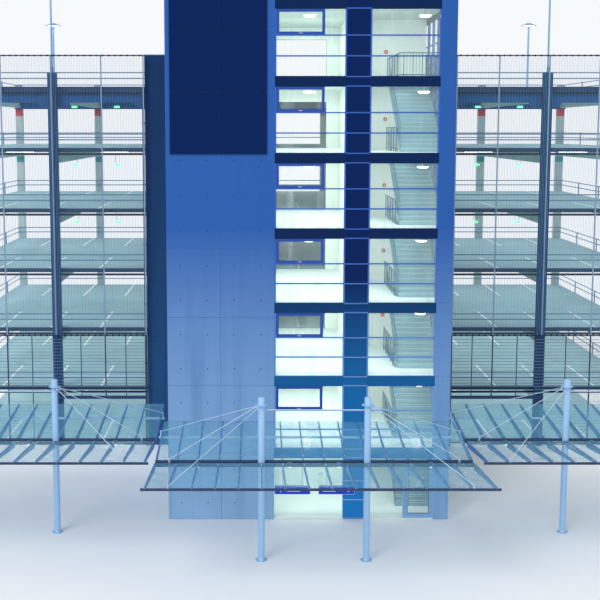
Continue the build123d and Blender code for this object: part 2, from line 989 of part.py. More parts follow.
def edge_tubes():
    """The tube along the front edge and the purlin under the rear ribs of each canopy."""
    tubes = []
    for centre, ahead in canopy_places:
        a, b = canopy_span(centre)
        front_y = face_y - ahead - front_reach
        rear_y, rear_z = purlin_place(ahead)
        tubes.append(bar((a - tube_overrun, front_y, edge_level), (b + tube_overrun, front_y, edge_level),
                         edge_tube))
        tubes.append(bar((a - tube_overrun, rear_y, rear_z), (b + tube_overrun, rear_y, rear_z), edge_tube))
    return tubes


def slope_ends(ahead, side):
    """Where a slope begins at the valley, and where it ends in front or behind."""
    start = face_y - ahead + side * (mast_width / 2 + valley_tube)
    ends = {-1: face_y - ahead - front_reach + edge_tube / 2, 1: face_y - ahead + rear_reach}
    return start, ends[side]


def rib_heights():
    """The top of the ribs at the valley and at the tip."""
    return valley_level + valley_tube / 2, edge_level + edge_tube / 2


def purlin_place(ahead):
    """The Y and Z of the purlin's axis, so that the rear ribs rest on its top."""
    start, end = slope_ends(ahead, 1)
    y = start + (end - start) * purlin_share
    flat = edge_tube * (2 ** 0.5 - 1) / 2
    root, tip = rib_heights()
    share = (y - flat - start) / (end - start)
    under = (root - rib_root) * (1 - share) + (tip - rib_tip) * share
    return y, under - edge_tube / 2


def canopy_ribs_on(side):
    """The tapered fins of one slope of every canopy."""
    ribs = []
    root = valley_level + valley_tube / 2
    tip = edge_level + edge_tube / 2
    for centre, ahead in canopy_places:
        start, end = slope_ends(ahead, side)
        outline = [(start, root - rib_root), (end, tip - rib_tip), (end, tip), (start, root)]
        ribs += [prism_x(outline, (x - rib_width / 2, x + rib_width / 2)) for x in rib_places(centre)]
    return ribs


def canopy_glass_panes():
    """The panes on the ribs, each over a few rib bays of one slope."""
    panes = []
    root = valley_level + valley_tube / 2
    tip = edge_level + edge_tube / 2
    for centre, ahead in canopy_places:
        places = rib_places(centre)
        for side in (-1, 1):
            start, end = slope_ends(ahead, side)
            outline = [(start, root), (end, tip), (end, tip + canopy_glass), (start, root + canopy_glass)]
            edges = places[::pane_bays]
            panes += [prism_x(outline, (a + glass_joint / 2, b - glass_joint / 2))
                      for a, b in zip(edges, edges[1:])]
    return panes


def spacer_x(side, centre):
    """The X limits of the plate that joins the two valley tubes near an end."""
    outer = canopy_span(centre)[0 if side < 0 else 1] - side * rib_pitch * 0.6
    return (outer, outer - side * spacer_width)


def valley_spacers():
    """The plates that join the valley tubes near both ends."""
    half = mast_width / 2
    return [block(spacer_x(side, centre), (y - half, y + half),
                  (valley_level - valley_tube / 4, valley_level + valley_tube / 4))
            for x, y, side, centre in mast_places()]


def stay_runs():
    """For each stay: its mast, its target on X, Y and Z, and the height of the lug there."""
    runs = []
    for x, y, side, centre in mast_places():
        ahead = face_y - y
        outer = rib_places(centre)[0 if side < 0 else -1]
        front = (outer - side * rib_pitch * front_stay_ribs, y - front_reach, edge_level + edge_tube / 2)
        valley = (sum(spacer_x(side, centre)) / 2, y, valley_level + valley_tube / 4)
        rear_y, rear_z = purlin_place(ahead)
        rear = (outer + side * (rib_width + tube_overrun) / 2, rear_y, rear_z + edge_tube / 2)
        runs += [((x, y), front, front_lug), ((x, y), valley, valley_lug), ((x, y), rear, rear_lug)]
    return runs


def heading(mast, target):
    """The level direction from a mast to a target, and its angle in degrees."""
    way = Vector(target[0] - mast[0], target[1] - mast[1], 0).normalized()
    return way, Vector(1, 0, 0).get_signed_angle(way, Vector(0, 0, 1))


def lug(place, angle, z_range):
    """An upright plate in line with its stay."""
    low, high = z_range
    middle = (place[0], place[1], (low + high) / 2)
    return Pos(*middle) * Rot(0, 0, angle) * Box(lug_length, lug_width, high - low)


def crown_reach():
    """How far the lugs under the crown plate stand from the mast's axis."""
    return crown_width / 2 - lug_length / 2


def canopy_lugs():
    """The small plates under the crowns, on the tubes and on the spacers that the stays are pinned to."""
    lugs = []
    for mast, target, height in stay_runs():
        way, angle = heading(mast, target)
        top = (mast[0] + way.X * crown_reach(), mast[1] + way.Y * crown_reach())
        lugs.append(lug(top, angle, (stay_level - crown_lug, stay_level)))
        lugs.append(lug(target, angle, (target[2], target[2] + height)))
    return lugs


def canopy_stays():
    """The rods from each mast to both edges and outward, beside their lugs, and the ties."""
    beside = (lug_width + stay_width) / 2
    rods = []
    for mast, target, height in stay_runs():
        way, angle = heading(mast, target)
        x_off, y_off = -way.Y * beside, way.X * beside
        top = (mast[0] + way.X * crown_reach() + x_off, mast[1] + way.Y * crown_reach() + y_off,
               stay_level - crown_lug / 2)
        low = (target[0] + x_off, target[1] + y_off, target[2] + height * 0.8)
        rods.append(bar(top, low, stay_width, 6))
    for centre, ahead in canopy_places:
        inner = mast_half - mast_width / 2
        z = stay_level - crown_lug * 1.5
        rods.append(bar((centre - inner, face_y - ahead, z), (centre + inner, face_y - ahead, z),
                        stay_width * 1.5))
    return rods


def sign_places():
    """The X limits of the two hanging signs."""
    return [(-sign_gap / 2 - sign_width, -sign_gap / 2), (sign_gap / 2, sign_gap / 2 + sign_width)]


def sign_y():
    """The Y of the signs, under the front tube of the middle valley."""
    return face_y - centre_ahead - (mast_width + valley_tube) / 2


def sign_panels():
    """The two signs that hang between the middle masts."""
    top = valley_level - valley_tube / 2 - sign_drop
    return [block(x_range, (sign_y() - sign_thickness / 2, sign_y() + sign_thickness / 2),
                  (top - sign_height, top)) for x_range in sign_places()]


def sign_hangers():
    """The rods that carry the signs."""
    top = valley_level - valley_tube / 2
    return [bar((x, sign_y(), top - sign_drop), (x, sign_y(), top), 20, 6)
            for a, b in sign_places() for x in (a + sign_gap, b - sign_gap)]


nodes = {
    "parking_decks": deck_slabs(),
    "front_columns": front_columns(),
    "rear_columns": rear_columns(),
    "downstand_beams": downstand_beams(),
    "roof_edge_beams": roof_edge_beams(),
    "pier_walls": pier_walls(),
    "deck_rails": front_rails() + rear_rails(),
    "side_rails": side_rails(),
    "rail_posts": rail_posts(),
    "screen_posts": mesh_posts() + screen_posts(),
    "screen_brackets": mesh_brackets(),
    "screen_tubes": mesh_tubes(),
    "screen_cables": both_sides(mesh_cables),
    "screen_rods": both_sides(rod_screens),
    "portal_beams": portal_beams(),
    "luminaires": deck_luminaires() + hall_lamps(),
    "roof_poles": roof_poles(),
    "roof_lamps": roof_lamps(),
    "core_front_wall": core_front(),
    "inner_walls": inner_walls(),
    "dividing_walls": dividing_walls(),
    "back_walls": back_walls(),
    "back_lintels": back_lintels(),
    "front_piers": front_piers(),
    "dark_glass_panels": dark_panels() + strip_panels(),
    "spandrel_panels": spandrel_panels(),
    "mullions": front_mullions() + side_mullions(),
    "transoms": transoms(),
    "front_glass": front_glass() + vent_glass(),
    "side_glass": side_glass(),
    "vent_stiles": vent_stiles(),
    "vent_rails": vent_rails(),
    "lobby_floors": lobby_floors(),
    "stair_landings": stair_landings(),
    "floor_edges": floor_edges(),
    "tower_roof": tower_roof(),
    "stair_treads": stair_treads(),
    "stair_risers": stair_risers(),
    "stair_stringers": stair_stringers(),
    "stair_handrails": stair_handrails() + guard_rails(),
    "stair_balusters": stair_balusters() + guard_posts(),
    "door_stiles": door_stiles(),
    "door_rails": door_rails(),
    "door_glass": door_glass(),
    "door_pull": door_pull(),
    "door_hinges": door_hinges(),
    "frame_hinges": frame_hinges(),
    "canopy_masts": canopy_masts(),
    "mast_plates": mast_plates(),
    "valley_tubes": valley_tubes(),
    "edge_tubes": edge_tubes(),
    "front_ribs": canopy_ribs_on(-1),
    "rear_ribs": canopy_ribs_on(1),
    "canopy_panes": canopy_glass_panes(),
    "valley_spacers": valley_spacers(),
    "canopy_lugs": canopy_lugs(),
    "canopy_stays": canopy_stays(),
    "sign_panels": sign_panels(),
    "sign_hangers": sign_hangers(),
}

os.makedirs("parts", exist_ok=True)
for name, solids in nodes.items():
    save(name, solids)
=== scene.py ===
import logging
import math
from dataclasses import dataclass
from enum import Enum
from functools import cache

import bmesh
import bpy
from mathutils import Matrix, Vector

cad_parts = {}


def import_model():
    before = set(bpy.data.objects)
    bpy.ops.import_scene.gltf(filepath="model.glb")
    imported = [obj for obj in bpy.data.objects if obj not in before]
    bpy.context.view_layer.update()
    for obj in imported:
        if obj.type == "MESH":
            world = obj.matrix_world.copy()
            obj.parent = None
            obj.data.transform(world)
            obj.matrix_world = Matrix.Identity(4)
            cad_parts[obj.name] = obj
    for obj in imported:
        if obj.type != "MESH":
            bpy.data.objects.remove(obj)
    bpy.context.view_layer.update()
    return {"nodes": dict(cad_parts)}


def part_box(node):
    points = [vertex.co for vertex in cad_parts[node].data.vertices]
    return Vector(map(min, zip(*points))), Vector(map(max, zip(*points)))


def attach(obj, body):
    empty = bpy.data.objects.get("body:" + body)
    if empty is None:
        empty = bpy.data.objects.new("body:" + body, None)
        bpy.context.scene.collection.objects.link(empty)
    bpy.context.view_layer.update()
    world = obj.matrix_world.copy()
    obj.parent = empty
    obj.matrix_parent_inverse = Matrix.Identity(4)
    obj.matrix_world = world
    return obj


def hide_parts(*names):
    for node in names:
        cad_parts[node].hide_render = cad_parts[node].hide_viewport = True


LOG = logging.getLogger("car_park")
BODY = "building"
DOOR = "entrance_door"
SIDES = (-1, 1)
# How much of a surface's normal lies along an axis that the surface faces
SQUARE_ON = 0.5
# Turns of an upright rod, to lie from side to side and from front to back
LEVEL_TURN = (0.0, math.pi / 2, 0.0)
DEPTH_TURN = (math.pi / 2, 0.0, 0.0)
Colour = tuple[float, float, float]
Point = tuple[float, float, float]
Span = tuple[float, float]
Tree = bpy.types.NodeTree
Socket = bpy.types.NodeSocket


class Glazing(Enum):
    """How much a sheet of glass hides what is behind it."""

    CLEAR = 0.09
    TINTED = 0.22


def srgb(red: int, green: int, blue: int) -> Colour:
    """A colour written as screen values, turned to linear light.

    Args:
        red: red from 0 to 255.
        green: green from 0 to 255.
        blue: blue from 0 to 255.

    Returns:
        The three linear values.
    """
    def linear(value: int) -> float:
        """One channel in linear light."""
        part = value / 255.0
        return part / 12.92 if part <= 0.04045 else ((part + 0.055) / 1.055) ** 2.4

    return linear(red), linear(green), linear(blue)


def darker(colour: Colour, share: float) -> Colour:
    """A colour at a share of its strength."""
    return tuple(value * share for value in colour)


# Places and sizes that several sub-assemblies share
@dataclass(frozen=True)
class Places:
    """Places on the building in metres, the first five read from the fixed frame."""

    face: float
    facade: float
    back: float
    tower_half: float
    tower_top: float
    storey: float = 3.0
    storeys: int = 6
    slab: float = 0.2
    ground: float = 0.06
    hall_span: Span = (-1.44, 5.53)
    hall_top: float = 20.9
    hall_walls: Span = (0.32, 0.28)

    @classmethod
    def measured(cls) -> "Places":
        """Measure the frame's own pieces.

        Returns:
            The measured places.
        """
        core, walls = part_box("core_front_wall"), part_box("back_walls")
        return cls(face=core[0].y, facade=walls[1].y, back=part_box("parking_decks")[1].y,
                   tower_half=walls[1].x, tower_top=walls[1].z)

    @property
    def levels(self) -> tuple[float, ...]:
        """The tops of the six decks above the ground."""
        return tuple(self.storey * k for k in range(1, self.storeys + 1))

    @property
    def floors(self) -> tuple[float, ...]:
        """The tops of the tower's floors, with its roof as the last."""
        return (*self.levels, self.storey * (self.storeys + 1))

    @property
    def hall(self) -> tuple[Point, Point]:
        """The rooms in the tower, with the faces of the walls round them.

        Returns:
            Two opposite corners.
        """
        front, rear = self.hall_walls
        return ((self.hall_span[0], self.face + front, 0.0),
                (self.hall_span[1], self.facade - rear, self.hall_top))

    def each_storey(self, row: str = "a") -> dict[str, object]:
        """Values of a row that sets one piece in each storey."""
        return {f"step_{row}": (0.0, 0.0, self.storey), f"count_{row}": self.storeys}


# Shader nodes
class Shading:
    """A shader tree with short ways to add what the finishes need."""

    def __init__(self, tree: Tree) -> None:
        """Work in one tree."""
        self.tree = tree
        self.link = tree.links.new

    def calc(self, operation: str, *values: Socket | float) -> Socket:
        """One Math node fed by sockets or numbers.

        Args:
            operation: the Math node's operation.
            values: sockets or plain numbers, in order.

        Returns:
            The output socket.
        """
        node = self.tree.nodes.new("ShaderNodeMath")
        node.operation = operation
        for slot, value in zip(node.inputs, values):
            if isinstance(value, Socket):
                self.link(value, slot)
            else:
                slot.default_value = value
        return node.outputs[0]

    def spot(self) -> Socket:
        """The shaded point in Object coordinates."""
        return self.tree.nodes.new("ShaderNodeTexCoord").outputs["Object"]

    def normal(self) -> Socket:
        """The direction that the surface faces."""
        return self.tree.nodes.new("ShaderNodeNewGeometry").outputs["Normal"]

    def split(self, vector: Socket) -> bpy.types.NodeOutputs:
        """The X, Y and Z of a vector.

        Args:
            vector: the vector's socket.

        Returns:
            The three output sockets by name.
        """
        node = self.tree.nodes.new("ShaderNodeSeparateXYZ")
        self.link(vector, node.inputs[0])
        return node.outputs

    def noise(self, vector: Socket, scale: Socket, detail: float) -> Socket:
        """Soft noise over the surface.

        Args:
            vector: where the noise is read.
            scale: its scale.
            detail: how many finer layers it has.

        Returns:
            The noise's value.
        """
        node = self.tree.nodes.new("ShaderNodeTexNoise")
        node.inputs["Detail"].default_value = detail
        self.link(vector, node.inputs["Vector"])
        self.link(scale, node.inputs["Scale"])
        return node.outputs["Fac"]

    def effect(self, group: Tree, **values: object) -> bpy.types.NodeOutputs:
        """Place a shared effect in this tree.

        Args:
            group: the effect's node group.
            values: input name, with underscores for spaces, to its value.

        Returns:
            The effect's output sockets by name.
        """
        node = self.tree.nodes.new("ShaderNodeGroup")
        node.node_tree = group
        for label, value in values.items():
            node.inputs[label.replace("_", " ")].default_value = value
        return node.outputs

    def tint(self, base: Socket, mask: Socket, colour: Colour) -> Socket:
        """Mix a second colour in where a mask is white.

        Args:
            base: the colour so far.
            mask: the factor.
            colour: the second colour.

        Returns:
            The mixed colour's socket.
        """
        mix = self.tree.nodes.new("ShaderNodeMix")
        mix.data_type = "RGBA"
        mix.inputs["B"].default_value = (*colour, 1.0)
        self.link(mask, mix.inputs["Factor"])
        self.link(base, mix.inputs["A"])
        return mix.outputs["Result"]


class Effects:
    """The node groups that several finishes share, each built once."""

    ROUGH_SWING = 0.16
    STREAK_STRETCH = (1.0, 1.0, 0.05)
    STREAK_EDGE = 0.52
    STREAK_GAIN = 5.0

    @staticmethod
    def start(name: str, inputs: dict[str, object], outputs: tuple[str, ...]
              ) -> tuple[Shading, bpy.types.NodeOutputs, bpy.types.NodeInputs]:
        """Open a new shader group with named sockets.

        Args:
            name: the group's name.
            inputs: socket name to its default.
            outputs: socket names.

        Returns:
            The empty group, what it is given and what it puts out.
        """
        tree = bpy.data.node_groups.new(name, "ShaderNodeTree")
        for way, labels in (("INPUT", inputs), ("OUTPUT", outputs)):
            for label in labels:
                kind = "NodeSocketColor" if label == "Color" else "NodeSocketFloat"
                socket = tree.interface.new_socket(name=label, in_out=way, socket_type=kind)
                if way == "INPUT":
                    socket.default_value = inputs[label]
        given, out = tree.nodes.new("NodeGroupInput"), tree.nodes.new("NodeGroupOutput")
        return Shading(tree), given.outputs, out.inputs

    @classmethod
    @cache
    def surface_grain(cls) -> Tree:
        """Cloudy variation of a colour, fine grain for a bump and uneven roughness.

        Returns:
            The group, with outputs Color, Height and Rough.
        """
        shading, given, out = cls.start(
            "surface_grain",
            {"Color": (0.5, 0.5, 0.5, 1.0), "Cloud": 0.15, "Cloud Scale": 0.6, "Grain Scale": 30.0,
             "Rough": 0.6},
            ("Color", "Height", "Rough"))
        spot = shading.spot()
        cloud = shading.noise(spot, given["Cloud Scale"], detail=5.0)
        grain = shading.noise(spot, given["Grain Scale"], detail=3.0)
        swing = shading.calc("MULTIPLY", shading.calc("SUBTRACT", cloud, 0.5), 2.0)
        mix = shading.tree.nodes.new("ShaderNodeVectorMath")
        mix.operation = "SCALE"
        shading.link(given["Color"], mix.inputs[0])
        shading.link(shading.calc("MULTIPLY_ADD", swing, given["Cloud"], 1.0), mix.inputs["Scale"])
        shading.link(mix.outputs[0], out["Color"])
        shading.link(grain, out["Height"])
        shading.link(shading.calc("MULTIPLY_ADD", grain, cls.ROUGH_SWING, given["Rough"]), out["Rough"])
        return shading.tree

    @classmethod
    @cache
    def joint_grid(cls) -> Tree:
        """A mask of thin lines at even steps across and up a wall, as formwork leaves them.

        Returns:
            The group, with output Mask: 1 on a line and 0 elsewhere.
        """
        shading, given, out = cls.start(
            "joint_grid",
            {"Across": 1.2, "Up": 2.4, "Across Start": 0.0, "Up Start": 0.0, "Width": 0.012}, ("Mask",))
        calc = shading.calc
        spot, turned = shading.split(shading.spot()), shading.split(shading.normal())
        masks = []
        for axis, step, faces in (("X", "Across", "Y"), ("Y", "Across", "X"), ("Z", "Up", "")):
            moved = calc("SUBTRACT", spot[axis], given[f"{step} Start"])
            near = calc("PINGPONG", moved, calc("MULTIPLY", given[step], 0.5))
            line = calc("LESS_THAN", near, given["Width"])
            if faces:
                lean = calc("ABSOLUTE", turned[faces])
                line = calc("MULTIPLY", line, calc("GREATER_THAN", lean, SQUARE_ON))
            masks.append(line)
        in_front, beside, level = masks
        shading.link(calc("MAXIMUM", calc("MAXIMUM", in_front, beside), level), out["Mask"])
        return shading.tree

    @classmethod
    @cache
    def rain_streaks(cls) -> Tree:
        """A soft mask of upright streaks, as rain leaves them on walls and posts.

        Returns:
            The group, with output Mask.
        """
        shading, given, out = cls.start("rain_streaks", {"Scale": 2.0, "Amount": 0.5}, ("Mask",))
        stretch = shading.tree.nodes.new("ShaderNodeMapping")
        stretch.inputs["Scale"].default_value = cls.STREAK_STRETCH
        shading.link(shading.spot(), stretch.inputs["Vector"])
        noise = shading.noise(stretch.outputs[0], given["Scale"], detail=4.0)
        sharp = shading.calc("MAXIMUM", shading.calc("SUBTRACT", noise, cls.STREAK_EDGE), 0.0)
        grown = shading.calc("MULTIPLY", sharp, cls.STREAK_GAIN)
        shading.link(shading.calc("MULTIPLY", grown, given["Amount"]), out["Mask"])
        return shading.tree


# Finishes
@dataclass(frozen=True)
class Finish:
    """A plain surface finish with cloudy colour, fine grain and a little weathering."""

    SMOOTHEST = 0.05

    name: str
    colour: Colour
    roughness: float = 0.6
    metallic: float = 0.0
    cloud: float = 0.12
    cloud_scale: float = 0.6
    grain_scale: float = 30.0
    bump: float = 0.15
    bump_depth: float = 0.004
    streaks: float = 0.0
    coat: float = 0.0
    coat_roughness: float = 0.08
    specular: float = 0.5
    wet: float = 0.55

    def stain(self) -> Colour:
        """The colour that rain leaves on this finish."""
        return darker(self.colour, self.wet)

    def patterned(self, shading: Shading, base: Socket) -> Socket:
        """Add the finish's own pattern; the plain finish has rain streaks alone.

        Args:
            shading: the material's shading.
            base: the colour so far.

        Returns:
            The patterned colour's socket.
        """
        if self.streaks <= 0.0:
            return base
        streaks = shading.effect(Effects.rain_streaks(), Amount=self.streaks)
        return shading.tint(base, streaks["Mask"], self.stain())

    def build(self) -> bpy.types.Material:
        """Make the material.

        Returns:
            The finished material.
        """
        material = bpy.data.materials.new(self.name)
        material.use_nodes = True
        shading = Shading(material.node_tree)
        shader = material.node_tree.nodes["Principled BSDF"].inputs
        rough = max(self.roughness - Effects.ROUGH_SWING / 2, self.SMOOTHEST)
        grain = shading.effect(Effects.surface_grain(), Color=(*self.colour, 1.0), Cloud=self.cloud,
                               Cloud_Scale=self.cloud_scale, Grain_Scale=self.grain_scale, Rough=rough)
        shader["Metallic"].default_value = self.metallic
        shader["Specular IOR Level"].default_value = self.specular
        if self.coat > 0.0:
            shader["Coat Weight"].default_value = self.coat
            shader["Coat Roughness"].default_value = self.coat_roughness
        shading.link(self.patterned(shading, grain["Color"]), shader["Base Color"])
        shading.link(grain["Rough"], shader["Roughness"])
        bump = material.node_tree.nodes.new("ShaderNodeBump")
        bump.inputs["Strength"].default_value = self.bump
        bump.inputs["Distance"].default_value = self.bump_depth
        shading.link(grain["Height"], bump.inputs["Height"])
        shading.link(bump.outputs["Normal"], shader["Normal"])
        return material


@dataclass(frozen=True)
class PaintedLightFinish(Finish):
    """A finish with painted light and shade: pale at the foot of the building, where lamps light it, and
    deepening evenly to the top colour at a named level.
    """

    wet: float = 0.75
    # Painted shade: the deep colour that the finish reaches at the named level and above
    top: Colour = (0.1, 0.2, 0.4)
    painted_shade_level: float = 10.0

    def stain(self) -> Colour:
        """Rain leaves a tone a little darker than the finish's top."""
        return darker(self.top, self.wet)

    def patterned(self, shading: Shading, base: Socket) -> Socket:
        """Paint the light and shade from the pale foot to the top colour, then let the rain run over it.

        Args:
            shading: the material's shading.
            base: the colour so far.

        Returns:
            The shaded colour's socket.
        """
        # Painted light and shade: the share of the top colour grows with the height
        height = shading.calc("DIVIDE", shading.split(shading.spot())["Z"], self.painted_shade_level)
        return super().patterned(shading, shading.tint(base, height, self.top))


@dataclass(frozen=True)
class WallFinish(PaintedLightFinish):
    """Cast concrete with faint panel joints over painted light and shade, and plaster on the side of the
    rooms.
    """

    across: float = 2.16
    up: float = 2.8
    start: Span = (0.75, 0.0)
    joint: float = 0.006
    seam: Span = (0.7, 0.04)
    room: tuple[Point, Point] | None = None
    plaster: Colour = (0.85, 0.93, 0.87)

    def patterned(self, shading: Shading, base: Socket) -> Socket:
        """Draw the joints over the painted shade and the streaks.

        Args:
            shading: the material's shading.
            base: the colour so far.

        Returns:
            The jointed colour's socket.
        """
        worn = super().patterned(shading, base)
        grid = shading.effect(Effects.joint_grid(), Across=self.across, Up=self.up,
                              Across_Start=self.start[0], Up_Start=self.start[1], Width=self.joint)
        seam = tuple(a + b for a, b in zip(darker(self.top, self.seam[0]), darker(self.colour, self.seam[1])))
        jointed = shading.tint(worn, grid["Mask"], seam)
        return shading.tint(jointed, self.inside(shading), self.plaster) if self.room else jointed

    def inside(self, shading: Shading) -> Socket:
        """Tell the faces that look into the rooms behind the wall.

        Args:
            shading: the material's shading.

        Returns:
            1 on those faces and 0 elsewhere.
        """
        spot = shading.split(shading.spot())
        spans = [shading.calc("COMPARE", spot[axis], (low + high) / 2, (high - low) / 2)
                 for axis, low, high in zip("XYZ", *self.room)]
        return shading.calc("MULTIPLY", shading.calc("MULTIPLY", spans[0], spans[1]), spans[2])


@dataclass(frozen=True)
class DeckFinish(Finish):
    """Deck concrete: a pale soffit, a dark edge, a worn middle and white lines between the bays."""

    soffit: Colour = (0.5, 0.55, 0.5)
    line: Colour = (0.7, 0.75, 0.75)
    edge: Colour = (0.1, 0.15, 0.2)
    bay: float = 2.5
    depth: float = 5.0
    front: float = 0.0
    back: float = 16.0
    line_half: float = 0.05
    worn_share: float = 0.6

    def patterned(self, shading: Shading, base: Socket) -> Socket:
        """Tell tops, edges and soffits apart, and draw the lines on the tops.

        Args:
            shading: the material's shading.
            base: the colour so far.

        Returns:
            The marked colour's socket.
        """
        calc = shading.calc
        spot, up = shading.split(shading.spot()), shading.split(shading.normal())["Z"]
        below, above = calc("LESS_THAN", up, -SQUARE_ON), calc("GREATER_THAN", up, SQUARE_ON)
        beside = calc("LESS_THAN", calc("ABSOLUTE", up), SQUARE_ON)
        stripe = calc("LESS_THAN", calc("PINGPONG", spot["X"], self.bay / 2), self.line_half)
        in_front = calc("LESS_THAN", spot["Y"], self.front + self.depth)
        behind = calc("GREATER_THAN", spot["Y"], self.back - self.depth)
        bays = calc("MAXIMUM", in_front, behind)
        lines = calc("MULTIPLY", calc("MULTIPLY", stripe, bays), above)
        streaks = shading.effect(Effects.rain_streaks(), Scale=0.8, Amount=0.35)["Mask"]
        worn = calc("MAXIMUM", calc("MULTIPLY", streaks, calc("SUBTRACT", above, bays)), 0.0)
        for mask, colour in ((worn, darker(self.colour, self.worn_share)), (lines, self.line),
                             (beside, self.edge), (below, self.soffit)):
            base = shading.tint(base, mask, colour)
        return base


@dataclass(frozen=True)
class BandedFinish(Finish):
    """Paint with bands of other colours between named levels."""

    bands: tuple[tuple[float, float, Colour], ...] = ()

    def patterned(self, shading: Shading, base: Socket) -> Socket:
        """Paint each band between its two levels.

        Args:
            shading: the material's shading.
            base: the colour so far.

        Returns:
            The banded colour's socket.
        """
        level = shading.split(shading.spot())["Z"]
        painted = super().patterned(shading, base)
        for low, high, colour in self.bands:
            over, under = shading.calc("GREATER_THAN", level, low), shading.calc("LESS_THAN", level, high)
            painted = shading.tint(painted, shading.calc("MULTIPLY", over, under), colour)
        return painted


@dataclass(frozen=True)
class GlassFinish(Finish):
    """A sheet of glass that lets what is behind it show, with faint dirt on it."""

    kind: Glazing = Glazing.CLEAR
    dirt: float = 0.12

    def build(self) -> bpy.types.Material:
        """Make the glass from the plain finish.

        Returns:
            The finished material.
        """
        material = super().build()
        shading = Shading(material.node_tree)
        dirt = shading.effect(Effects.rain_streaks(), Amount=self.dirt)
        shown = shading.calc("ADD", dirt["Mask"], self.kind.value)
        shading.link(shown, material.node_tree.nodes["Principled BSDF"].inputs["Alpha"])
        return material


@dataclass(frozen=True)
class LampFinish(Finish):
    """A lit cover that glows evenly behind its own colour."""

    glow: float = 4.0

    def build(self) -> bpy.types.Material:
        """Make the lit material from the plain finish.

        Returns:
            The finished material.
        """
        material = super().build()
        shader = material.node_tree.nodes["Principled BSDF"].inputs
        shader["Emission Strength"].default_value = self.glow
        shader["Emission Color"].default_value = (*self.colour, 1.0)
        return material


